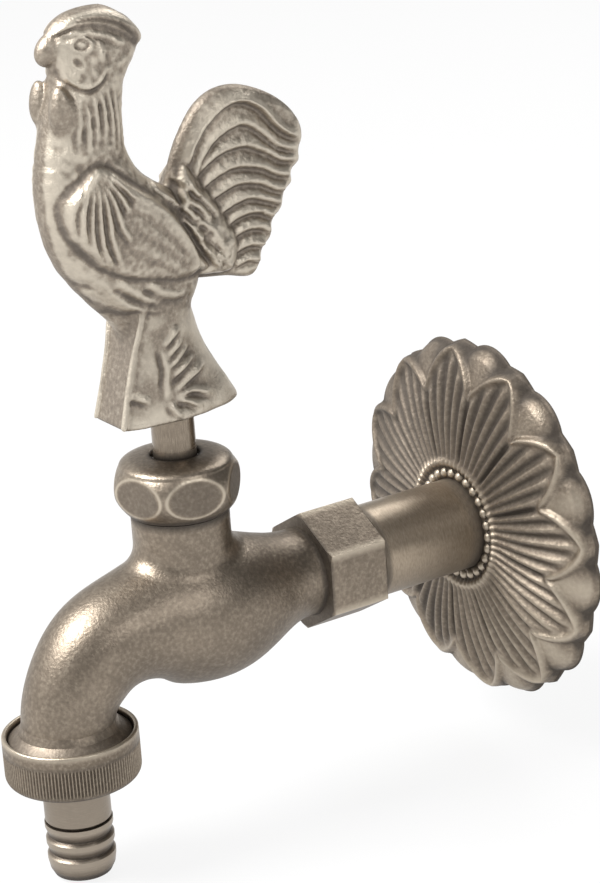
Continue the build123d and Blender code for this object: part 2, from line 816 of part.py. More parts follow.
def dome_band(inner, outer, low, high):
    """Closed section between two arcs that stand low and high over the dome."""
    middle = (inner + outer) / 2
    bottom, top = [
        ThreePointArc(*[(r, 0, dome_height(r) + lift) for r in (inner, middle, outer)])
        for lift in (low, high)
    ]
    return make_face([bottom, Line(bottom @ 1, top @ 1), top, Line(top @ 0, bottom @ 0)])


def dome_profile(inner):
    """Section of the dished shell, from its collar out to the flat foot at its edge."""
    middle = (inner + rose_radius) / 2
    foot = rose_radius - petal_margin - rose_foot
    top = ThreePointArc(*[(r, 0, dome_height(r)) for r in (inner, middle, rose_radius)])
    under = ThreePointArc(
        (inner, 0, dome_height(inner) - rose_sheet),
        (middle, 0, dome_height(middle) - rose_sheet),
        (foot, 0, 0),
    )
    edge = Polyline(top @ 1, (rose_radius, 0, 0), under @ 1)
    return make_face([top, edge, under, Line(under @ 0, top @ 0)])


def flute(start, end, angle):
    """Groove of three-cornered section along a petal, following the dome outwards."""
    middle = (start + end) / 2
    path = ThreePointArc(*[(r, 0, dome_height(r) + petal_stand) for r in (start, middle, end)])
    across = Plane(origin=path @ 0, x_dir=(0, 1, 0), z_dir=path % 0)
    reach = flute_half_width * (flute_depth + overrun) / flute_depth
    notch = Polyline((0, -flute_depth), (reach, overrun), (-reach, overrun), close=True)
    cut = sweep(across * make_face(notch), path)
    return Rot(0, 0, angle) * cut


def wall_rose():
    """Flower-shaped rose: a dished shell with two rows of petals and a plain collar."""
    inner = rose_collar_radius - overrun
    rim = rose_radius - petal_margin
    reach = rose_collar_height + 2 * overrun
    lobes = petal_star(rim, rim, 2 * petal_count, petal_turn, lobe_bulge)
    shell = revolve(dome_profile(inner), Axis.Z) & extrude(Pos(0, 0, -overrun) * lobes, reach)
    star = petal_star(petal_valley_radius, petal_tip_radius, petal_count, petal_turn, petal_bulge)
    band = dome_band(inner, petal_tip_radius + overrun, -petal_sink, petal_stand)
    petals = revolve(band, Axis.Z)
    rose = shell + (petals & extrude(Pos(0, 0, -overrun) * star, reach))
    for i in range(petal_count):
        for share, length in flute_shares:
            angle = petal_turn + (i + share) * full_turn / petal_count
            rose = rose - flute(flute_start, length * rose_radius, angle)
    rose = rose + ring(rose_bore_radius, rose_collar_radius, rose_collar_depth, rose_collar_height)
    return from_wall(rose)


def main():
    pieces = {
        "inlet_extension": inlet_extension(),
        "extension_washer": extension_washer(),
        "tap_body": tap_body(),
        "headwork_bush": headwork_bush(),
        "headwork_gasket": headwork_gasket(),
        "gland_washer": gland_washer(),
        "gland_packing": gland_packing(),
        "bonnet_nut": bonnet_nut(),
        "spindle": spindle(),
        "jumper_valve": jumper_valve(),
        "seat_washer": seat_washer(),
        "washer_nut": washer_nut(),
        "rooster_handle": rooster_handle(),
        "handle_screw": handle_screw(),
        "wall_rose": wall_rose(),
        "hose_union_nut": hose_union_nut(),
        "hose_washer": hose_washer(),
        "hose_tail": hose_tail(),
    }
    for name, piece in pieces.items():
        export_step(piece, f"parts/{name}.step")


main()
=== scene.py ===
"""Looks of an ornamental garden tap: aged brass, a cockerel for a handle and a flower-shaped wall rose."""
import json
import logging
from dataclasses import dataclass, field, replace
from enum import Enum

import bpy
import numpy as np
from mathutils import Matrix, Vector

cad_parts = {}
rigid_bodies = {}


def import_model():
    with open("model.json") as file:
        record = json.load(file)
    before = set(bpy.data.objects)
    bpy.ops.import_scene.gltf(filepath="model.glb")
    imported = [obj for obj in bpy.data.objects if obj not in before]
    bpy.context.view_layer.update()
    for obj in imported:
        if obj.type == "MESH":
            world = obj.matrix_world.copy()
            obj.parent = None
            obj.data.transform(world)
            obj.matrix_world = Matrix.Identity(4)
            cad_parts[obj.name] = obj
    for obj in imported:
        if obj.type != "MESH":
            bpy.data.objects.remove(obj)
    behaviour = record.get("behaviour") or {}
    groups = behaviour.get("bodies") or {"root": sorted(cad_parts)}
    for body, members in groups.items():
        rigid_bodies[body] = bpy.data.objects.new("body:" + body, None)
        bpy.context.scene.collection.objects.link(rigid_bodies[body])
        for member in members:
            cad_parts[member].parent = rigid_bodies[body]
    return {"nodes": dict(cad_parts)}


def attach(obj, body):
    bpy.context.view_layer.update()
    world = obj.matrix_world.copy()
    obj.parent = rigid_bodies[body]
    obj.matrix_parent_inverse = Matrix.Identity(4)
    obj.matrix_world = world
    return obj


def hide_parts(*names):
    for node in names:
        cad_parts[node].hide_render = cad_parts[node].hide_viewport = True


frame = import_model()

log = logging.getLogger("tap")
MM = 0.001
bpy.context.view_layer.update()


# Meshes


def put_mesh(
    name: str, points: np.ndarray, faces: np.ndarray, tone: np.ndarray | None = None
) -> bpy.types.Object:
    """Makes one smooth-shaded mesh object at the origin.

    Args:
        name: the piece's name.
        points: (n, 3) places in millimetres.
        faces: (m, 4) or (m, 3) rows of point numbers, anticlockwise from outside.
        tone: a number per point, above zero on worn edges and painted highlights, below zero in hollows and
            painted shade.

    Returns:
        The new object, linked into the scene.
    """
    mesh = bpy.data.meshes.new(name)
    count, corners = faces.shape
    mesh.vertices.add(len(points))
    mesh.vertices.foreach_set("co", np.ascontiguousarray(points * MM, np.float32).ravel())
    mesh.loops.add(count * corners)
    mesh.loops.foreach_set("vertex_index", np.ascontiguousarray(faces, np.int32).ravel())
    mesh.polygons.add(count)
    mesh.polygons.foreach_set("loop_start", np.arange(0, count * corners, corners, dtype=np.int32))
    mesh.polygons.foreach_set("use_smooth", np.ones(count, bool))
    mesh.update(calc_edges=True)
    if tone is not None:
        layer = mesh.attributes.new("tone", "FLOAT", "POINT")
        layer.data.foreach_set("value", np.ascontiguousarray(tone, np.float32))
    mesh.validate()
    thing = bpy.data.objects.new(name, mesh)
    bpy.context.scene.collection.objects.link(thing)
    return thing


def spline(points: tuple, per_span: int = 12, closed: bool = False) -> np.ndarray:
    """Catmull-Rom curve through points: on each span the cubic whose end slopes are half the chord
    between the neighbours on either side.

    Args:
        points: the places that the curve passes, each a tuple of numbers.
        per_span: places worked out on each span.
        closed: whether the curve returns to its start.

    Returns:
        (n, d) places along the curve.
    """
    p = np.asarray(points, float)
    if closed:
        p = np.vstack([p[-1:], p, p[:2]])
    else:
        p = np.vstack([2 * p[:1] - p[1:2], p, 2 * p[-1:] - p[-2:-1]])
    t = np.linspace(0, 1, per_span, endpoint=False)[None, :, None]
    a, b, c, d = (q[:, None, :] for q in (p[:-3], p[1:-2], p[2:-1], p[3:]))
    curve = b + 0.5 * t * (c - a + t * (2 * a - 5 * b + 4 * c - d + t * (3 * (b - c) + d - a)))
    flat = curve.reshape(-1, p.shape[1])
    return flat if closed else np.vstack([flat, p[-2]])


def line_field(path: np.ndarray, y: np.ndarray, z: np.ndarray, closed: bool = False) -> tuple:
    """Distance of every place to a path, its signed side, and how far along the path it lies.

    The distance is the least over the path's straight bits. For a closed path the sign comes from
    counting crossings of a level ray, plus inside. For an open one it is the side of the nearest bit,
    plus on the left.

    Args:
        path: (n, 2) places along the path.
        y: first coordinate of the places.
        z: second coordinate of the places.
        closed: whether the last place joins the first.

    Returns:
        The signed distance and the share of the path's length, as arrays like y.
    """
    best = np.full(y.shape, 1e9)
    side = np.ones(y.shape)
    along = np.zeros(y.shape)
    inside = np.zeros(y.shape, bool)
    ends = np.vstack([path[1:], path[:1]]) if closed else path[1:]
    starts = path if closed else path[:-1]
    length = np.concatenate([[0], np.cumsum(np.hypot(*(ends - starts).T))])
    for (y0, z0), (y1, z1), run, bit in zip(starts, ends, length, np.diff(length)):
        dy, dz = y1 - y0, z1 - z0
        t = np.clip(((y - y0) * dy + (z - z0) * dz) / max(dy * dy + dz * dz, 1e-12), 0, 1)
        gap = (y - y0 - t * dy) ** 2 + (z - z0 - t * dz) ** 2
        near = gap < best
        best = np.where(near, gap, best)
        side = np.where(near, np.sign(dy * (z - z0) - dz * (y - y0)), side)
        along = np.where(near, run + t * bit, along)
        if z0 != z1:
            inside ^= ((z0 > z) != (z1 > z)) & (y < y0 + (z - z0) * dy / dz)
    if closed:
        side = np.where(inside, 1.0, -1.0)
    return np.sqrt(best) * side, along / length[-1]


def arc(gap: np.ndarray, radius: float) -> np.ndarray:
    """Quarter circle: 0 at the edge and outside it, and 1 from radius inwards."""
    return np.sqrt(1 - (1 - np.clip(gap / radius, 0, 1)) ** 2)


def rounded(gap: np.ndarray, radius: float) -> np.ndarray:
    """Quarter circle: 0 at the edge, 1 from radius inwards, and a straight fall outside the edge."""
    return np.where(gap > 0, arc(gap, radius), gap / radius)


def ease(low: float, high: float, value: np.ndarray) -> np.ndarray:
    """Smooth step: 0 below low, 1 above high, with the cubic 3t^2 - 2t^3 between."""
    t = np.clip((value - low) / (high - low), 0, 1)
    return t * t * (3 - 2 * t)


def joined(first: np.ndarray, second: np.ndarray, fill: float) -> np.ndarray:
    """The greater of two depths, with a fillet where they are within fill of each other."""
    near = np.maximum(0, 1 - np.abs(first - second) / fill)
    return np.maximum(first, second) + 0.25 * fill * near * near


def blurred(values: np.ndarray, cells: int) -> np.ndarray:
    """Three running means over 2 * cells + 1 cells both ways, close to a bell-shaped blur.

    Args:
        values: a grid of numbers.
        cells: reach of each running mean to either side.

    Returns:
        The blurred grid, of the same size.
    """
    out = values
    for axis in (0, 1):
        for _ in range(3):
            pad = [(cells + 1, cells) if a == axis else (0, 0) for a in (0, 1)]
            total = np.cumsum(np.pad(out, pad, mode="edge"), axis=axis)
            high = np.take(total, range(2 * cells + 1, total.shape[axis]), axis=axis)
            low = np.take(total, range(0, total.shape[axis] - 2 * cells - 1), axis=axis)
            out = (high - low) / (2 * cells + 1)
    return out


def surface_net(values: np.ndarray, low: np.ndarray, step: float) -> tuple:
    """Closed mesh round the part of a grid where values are positive.

    Every cell that the surface passes gets one point, at the mean of the places where the cell's edges
    cross zero, and every crossed edge gets one quad between the four cells round it.

    Args:
        values: (nx, ny, nz) numbers, negative all round the outside.
        low: the grid's lowest corner.
        step: the grid's spacing.

    Returns:
        (n, 3) points and (m, 4) quads.
    """
    cells = np.array(values.shape) - 1
    size = int(cells.prod())
    total = np.zeros((3, size))
    count = np.zeros(size)
    quads = []
    for axis in range(3):
        a = np.delete(values, -1, axis)
        b = np.delete(values, 0, axis)
        at = np.argwhere((a > 0) != (b > 0))
        va, vb = a[tuple(at.T)], b[tuple(at.T)]
        place = at.astype(float)
        place[:, axis] += va / (va - vb)
        one, two = (axis + 1) % 3, (axis + 2) % 3
        ring = []
        for da, db in ((0, 0), (1, 0), (1, 1), (0, 1)):
            cell = at.copy()
            cell[:, one] -= da
            cell[:, two] -= db
            number = np.ravel_multi_index(cell.T, cells)
            ring.append(number)
            count += np.bincount(number, minlength=size)
            for k in range(3):
                total[k] += np.bincount(number, place[:, k], minlength=size)
        quad = np.stack(ring, 1)
        quads.append(np.where((va > 0)[:, None], quad, quad[:, ::-1]))
    used = np.flatnonzero(count)
    number = np.full(size, -1)
    number[used] = np.arange(len(used))
    points = (total[:, used] / count[used]).T * step + low
    return points, number[np.vstack(quads)]


def full_turn(steps: int) -> np.ndarray:
    """Angles all round, as a column."""
    return np.linspace(0, 2 * np.pi, steps, endpoint=False)[:, None]


def swept(radius: np.ndarray, height: np.ndarray, angle: np.ndarray) -> np.ndarray:
    """Points round the Z axis at radii, heights and angles, row after row."""
    return np.stack([radius * np.cos(angle), radius * np.sin(angle), height + 0 * angle], -1).reshape(-1, 3)


def ring_quads(rows: int, columns: int) -> np.ndarray:
    """Quads of a grid of points that closes on itself both ways.

    Args:
        rows: steps round the axis.
        columns: points of the closed section, anticlockwise with the radius to the right.

    Returns:
        (rows * columns, 4) point numbers, anticlockwise from outside.
    """
    i, j = np.meshgrid(np.arange(rows), np.arange(columns), indexing="ij")
    p = i * columns + j
    q = i * columns + (j + 1) % columns
    r = (i + 1) % rows * columns + (j + 1) % columns
    s = (i + 1) % rows * columns + j
    return np.stack([p, s, r, q], -1).reshape(-1, 4)


def beside(like: np.ndarray, *values: object) -> np.ndarray:
    """Numbers and columns set side by side, with as many rows as like."""
    return np.hstack([value + 0 * like for value in values])


def bell(value: np.ndarray, middle: float, reach: float) -> np.ndarray:
    """Bell curve: 1 at the middle, with e^-1 left at the reach."""
    return np.exp(-((value - middle) / reach) ** 2)


def to_wall(points: np.ndarray) -> np.ndarray:
    """Turns points made about Z, heights being distances from the wall, on to the inlet axis."""
    return np.stack([points[:, 0], -points[:, 2], points[:, 1]], 1)


# Materials


class Val:
    """A shader socket that can stand in Python sums."""

    def __init__(self, tree: bpy.types.NodeTree, socket: bpy.types.NodeSocket) -> None:
        """Wraps a node's output socket."""
        self.tree = tree
        self.socket = socket

    def _math(self, operation: str, *values: object, clamp: bool = False) -> "Val":
        """One Math node.

        Args:
            operation: what it works out.
            values: numbers or sockets that go in.
            clamp: whether the result is held between 0 and 1.

        Returns:
            Its result.
        """
        node = self.tree.nodes.new("ShaderNodeMath")
        node.operation = operation
        node.use_clamp = clamp
        for slot, value in zip(node.inputs, values):
            if isinstance(value, Val):
                self.tree.links.new(value.socket, slot)
            else:
                slot.default_value = value
        return Val(self.tree, node.outputs[0])

    def __add__(self, other: object) -> "Val":
        """Sum."""
        return self._math("ADD", self, other)

    def __sub__(self, other: object) -> "Val":
        """Difference."""
        return self._math("SUBTRACT", self, other)

    def __mul__(self, other: object) -> "Val":
        """Product."""
        return self._math("MULTIPLY", self, other)

    def __radd__(self, other: object) -> "Val":
        """Sum with a number first."""
        return self._math("ADD", other, self)

    def __rsub__(self, other: object) -> "Val":
        """A number less this value."""
        return self._math("SUBTRACT", other, self)

    def __rmul__(self, other: object) -> "Val":
        """Product with a number first."""
        return self._math("MULTIPLY", other, self)

    def __neg__(self) -> "Val":
        """The value with its sign turned."""
        return self._math("MULTIPLY", self, -1.0)

    def __pow__(self, other: object) -> "Val":
        """Power."""
        return self._math("POWER", self, other)

    def size(self) -> "Val":
        """The value without its sign."""
        return self._math("ABSOLUTE", self)

    def clamp(self) -> "Val":
        """Held between 0 and 1."""
        return self._math("ADD", self, 0.0, clamp=True)

    def over(self, low: float, high: float) -> "Val":
        """0 at low and 1 at high, held there beyond."""
        return self._math("MULTIPLY", self - low, 1 / (high - low), clamp=True)


class Graph:
    """A node tree under construction."""

    def __init__(self, tree: bpy.types.NodeTree) -> None:
        """Takes a tree and empties it."""
        self.tree = tree
        self.tree.nodes.clear()

    def node(
        self, kind: str, settings: dict | None = None, sockets: dict | None = None, out: object = 0
    ) -> Val | None:
        """Adds any node.

        Args:
            kind: the node's type name after ShaderNode.
            settings: its properties, and "stops" for a ramp's (place, colour) pairs, set first.
            sockets: values or links of its inputs, by name or number.
            out: the output wanted, by name or number.

        Returns:
            That output, or None from a node that has none.
        """
        made = self.tree.nodes.new("ShaderNode" + kind)
        for key, value in (settings or {}).items():
            if key == "stops":
                for element, (place, colour) in zip(made.color_ramp.elements, value):
                    element.position = place
                    element.color = (*colour, 1)
            else:
                setattr(made, key, value)
        for key, value in (sockets or {}).items():
            slot = made.inputs[key]
            if isinstance(value, Val):
                self.tree.links.new(value.socket, slot)
            else:
                slot.default_value = value
        return Val(self.tree, made.outputs[out]) if made.outputs else None

    def split(self, vector: Val) -> dict:
        """The three parts of a vector, by letter."""
        made = self.node("SeparateXYZ", sockets={0: vector}).socket.node
        return {letter: Val(self.tree, made.outputs[i]) for i, letter in enumerate("xyz")}

    def mix(self, share: Val, first: object, second: object) -> Val:
        """Blends two colours by a share."""
        colours = {i: (*c, 1) if isinstance(c, tuple) else c for i, c in ((6, first), (7, second))}
        return self.node("Mix", {"data_type": "RGBA"}, {0: share, **colours}, out=2)


class Paint(Graph):
    """A material under construction."""

    def __init__(self, name: str) -> None:
        """Starts an empty node material.

        Args:
            name: the material's name.
        """
        self.material = bpy.data.materials.new(name)
        self.material.use_nodes = True
        super().__init__(self.material.node_tree)

    def place(self, stretch: tuple = (1, 1, 1)) -> Val:
        """Object coordinates in metres.

        Args:
            stretch: how many times closer together they come along each axis.

        Returns:
            The coordinates as one vector.
        """
        spot = self.node("TexCoord", out="Object")
        plain = stretch == (1, 1, 1)
        return spot if plain else self.node("Mapping", sockets={"Vector": spot, "Scale": stretch})

    def noise(self, scale: float, detail: float, stretch: tuple = (1, 1, 1)) -> Val:
        """Noise of a scale in cells per metre, from 0 to 1."""
        sockets = {"Vector": self.place(stretch), "Scale": scale, "Detail": detail}
        return self.node("TexNoise", sockets=sockets)

    def bump(self, height: Val, distance: float, strength: float) -> Val:
        """Normal bent by a height."""
        return self.node("Bump", sockets={"Height": height, "Distance": distance, "Strength": strength})

    def finish(self, shader: Val) -> bpy.types.Material:
        """Ends in a shader."""
        self.node("OutputMaterial", sockets={"Surface": shader})
        return self.material

    def principled(self, sockets: dict) -> bpy.types.Material:
        """Ends in one Principled shader with these values or links."""
        return self.finish(self.node("BsdfPrincipled", sockets=sockets))


@dataclass(frozen=True)
class Rub:
    """Where a turned or six-sided piece is rubbed pale: far from its axis, in metres."""

    axis: str
    low: float
    high: float
    centre_y: float = 0.0
    limit_y: float = -1.0
    dark: float = 0.6


@dataclass(frozen=True)
class ShadeBand:
    """A ring of painted shade round a place along an axis where two parts meet, in metres."""

    axis: str
    place: float
    reach: float
    depth: float = 1.0


@dataclass(frozen=True)
class AgedBrass:
    """Brass gone brown and satin, pale where handled and dark in its hollows, with painted shade on faces
    that look down and in rings where parts meet, and the painted light carried by a mesh's tone.
    """

    name: str
    body: tuple = (0.27, 0.222, 0.172)
    dark: tuple = (0.055, 0.045, 0.037)
    pale: tuple = (0.62, 0.54, 0.43)
    roughness: float = 0.4
    grain: float = 1500.0
    grain_depth: float = 0.00016
    grain_strength: float = 0.5
    cloud: float = 0.22
    mottle: float = 0.08
    speckle: float = 0.22
    # How far the hollows and the painted shade go towards the dark colour.
    depth: float = 0.85
    # How much darker faces that look down are painted: painted shade.
    underside_shade: float = 0.6
    toned: bool = False
    stretch: tuple = (1, 1, 1)
    rub: Rub | None = None
    shade_bands: tuple = ()

    def tone(self, p: Paint) -> Val:
        """Wear and painted light, from -1 in hollows and painted shade to 1 on edges and painted highlights:
        the mesh's own tone, the rubbed edges, less rings of painted shade where parts meet and painted shade
        on a share of faces that look down.

        Args:
            p: the material under construction.

        Returns:
            The wear at each place.
        """
        total = p.node("Attribute", {"attribute_name": "tone"}, out="Fac") if self.toned else 0.0
        parts = p.split(p.place())
        if self.rub is not None:
            other = parts["z"] if self.rub.axis == "y" else parts["y"] - self.rub.centre_y
            radius = (parts["x"] * parts["x"] + other * other) ** 0.5
            edge = radius.over(self.rub.low, self.rub.high) * (1 + self.rub.dark) - self.rub.dark
            total = total + edge * parts["y"].over(self.rub.limit_y - 0.0004, self.rub.limit_y)
        # Painted shade: each ring darkens the metal where two parts meet.
        for band in self.shade_bands:
            near = 1 - (parts[band.axis] - band.place).size().over(0.2 * band.reach, band.reach)
            total = total - near * band.depth
        # Painted shade: faces that look down are painted darker.
        facing = p.split(p.node("NewGeometry", out="Normal"))
        return total - (-facing["z"]).over(0.0, 0.9) * self.underside_shade

    def make(self) -> bpy.types.Material:
        """Builds the material.

        Returns:
            The new material.
        """
        p = Paint(self.name)
        cloud = p.noise(55, 4)
        patch = p.noise(190, 3)
        fleck = p.noise(self.grain * 0.7, 3, self.stretch)
        grain = p.noise(self.grain, 2, self.stretch)
        tone = self.tone(p)
        # Darker where the tone is below zero: patina in hollows, and painted shade.
        grime_and_shade = (-tone).over(0.0, 1.0)
        colour = p.mix(cloud.over(0.42, 0.68) * self.cloud, self.body, self.dark)
        colour = p.mix(patch.over(0.4, 0.75) * self.mottle, colour, self.dark)
        colour = p.mix(fleck.over(0.5, 0.72) * self.speckle, colour, self.pale)
        colour = p.mix(fleck.over(0.5, 0.3) * self.speckle, colour, self.dark)
        colour = p.mix(grime_and_shade * self.depth, colour, self.dark)
        # Paler where the tone is above zero: worn edges, and painted highlights.
        colour = p.mix(tone.over(0.05, 1.0) * 0.75, colour, self.pale)
        rough = self.roughness + (cloud - 0.5) * 0.2 + grime_and_shade * 0.22
        normal = p.bump(grain + patch * 0.6, self.grain_depth, self.grain_strength)
        return p.principled({
            "Base Color": colour,
            "Metallic": 0.92 - grime_and_shade * 0.4,
            "Roughness": rough.clamp(),
            "Normal": normal,
        })


@dataclass(frozen=True)
class Plain:
    """Rubber, fibre, packing or steel: one stuff with a fine mottle."""

    name: str
    body: tuple
    second: tuple
    roughness: float
    metallic: float = 0.0
    grain: float = 900.0

    def make(self) -> bpy.types.Material:
        """Builds the material.

        Returns:
            The new material.
        """
        p = Paint(self.name)
        spots = p.noise(self.grain, 3)
        colour = p.mix(spots.over(0.3, 0.7), self.body, self.second)
        normal = p.bump(spots, 0.0001, 0.3)
        rough = self.roughness + (spots - 0.5) * 0.1
        return p.principled({
            "Base Color": colour,
            "Metallic": self.metallic,
            "Roughness": rough,
            "Normal": normal,
        })


class Finish(Enum):
    """The finishes of the tap's pieces."""

    # Each ring listed under a finish is painted shade where two parts meet; the cast body's last ring darkens
    # the bright flare at the spout's end.
    CAST = AgedBrass(
        "aged cast brass", rub=Rub("y", 0.0138, 0.01465, limit_y=-0.0552, dark=0.0),
        shade_bands=(
            ShadeBand("z", 0.0246, 0.0022), ShadeBand("y", -0.055, 0.0012, 0.8), ShadeBand("y", -0.0386, 0.0008, 0.9),
            ShadeBand("z", -0.0245, 0.006, 1.0),
        ),
    )
    FIGURE = AgedBrass(
        "aged figure brass", body=(0.36, 0.305, 0.245), dark=(0.11, 0.092, 0.077), pale=(0.72, 0.65, 0.54),
        toned=True, speckle=0.3, roughness=0.47, grain=1400.0, grain_depth=0.0002, grain_strength=0.7,
    )
    ROSE = AgedBrass(
        "aged rose brass", toned=True, cloud=0.25, roughness=0.47,
        grain=1400.0, grain_depth=0.0002, grain_strength=0.7,
    )
    NUT = AgedBrass("aged nut brass", roughness=0.38, toned=True, shade_bands=(ShadeBand("z", 0.0248, 0.0016, 0.8),))
    STEM = AgedBrass(
        "aged stem brass", roughness=0.22, cloud=0.1,
        grain=2500.0, stretch=(3.0, 3.0, 0.3), grain_strength=0.15, shade_bands=(ShadeBand("z", 0.0378, 0.0022, 0.9),),
    )
    TAIL = AgedBrass(
        "aged hose tail brass", body=(0.165, 0.134, 0.105), pale=(0.42, 0.36, 0.29), roughness=0.38,
        cloud=0.3, grain=2500.0, stretch=(0.3, 0.3, 3.0), grain_strength=0.3,
        rub=Rub("z", 0.00705, 0.00785, -0.1202, dark=0.9), shade_bands=(ShadeBand("z", -0.0325, 0.002, 0.9),),
    )
    UNION = AgedBrass(
        "aged union brass", body=(0.23, 0.187, 0.143), roughness=0.4, toned=True,
        grain=2000.0, grain_strength=0.3,
    )
    SLEEVE = AgedBrass(
        "aged sleeve brass", body=(0.42, 0.345, 0.262), roughness=0.36,
        cloud=0.3, grain=2500.0, stretch=(0.5, 2.0, 0.5), grain_strength=0.15,
        shade_bands=(ShadeBand("y", -0.0375, 0.0016, 0.7), ShadeBand("y", -0.0085, 0.005, 0.9)),
    )
    BRIGHT = AgedBrass(
        "turned brass inside", body=(0.6, 0.45, 0.2), dark=(0.35, 0.25, 0.1), pale=(0.8, 0.65, 0.35),
    )
    STEEL = Plain("blackened steel", (0.18, 0.18, 0.19), (0.1, 0.1, 0.1), 0.4, 1.0)
    RUBBER = Plain("black rubber", (0.02, 0.02, 0.02), (0.035, 0.035, 0.035), 0.7)
    FIBRE = Plain("red fibre", (0.25, 0.06, 0.04), (0.33, 0.1, 0.06), 0.65)
    PACKING = Plain("white packing", (0.75, 0.74, 0.7), (0.65, 0.64, 0.6), 0.45)

    def material(self) -> bpy.types.Material:
        """The finish's material, made once."""
        return bpy.data.materials.get(self.value.name) or self.value.make()


def dress(thing: bpy.types.Object, finish: Finish) -> None:
    """Gives an object one finish all over.

    Args:
        thing: a mesh object, with material slots or without.
        finish: the finish.
    """
    slots = thing.data.materials
    if len(slots):
        for i in range(len(slots)):
            slots[i] = finish.material()
    else:
        slots.append(finish.material())


# Cockerel


@dataclass(frozen=True)
class Ribs:
    """Raised lines of one kind, in millimetres.

    Across each rib runs a bell curve of the distance to its line, wider on the left by lean, and a
    groove lies beside it on the right. The rib fades out over a share of its length at both ends.
    """

    lines: tuple
    height: float
    width: float
    lean: float = 1.0
    groove: float = 0.0
    fade: float = 0.16


@dataclass(frozen=True)
class Uneven:
    """Seeded unevenness of a cast face: the blur in cells, the seed and the spread in millimetres."""

    cells: int
    seed: int
    spread: float

    def over(self, shape: tuple) -> np.ndarray:
        """Random numbers on every cell, blurred and scaled to the spread."""
        raw = blurred(np.random.default_rng(self.seed).standard_normal(shape), self.cells)
        return raw / raw.std() * self.spread


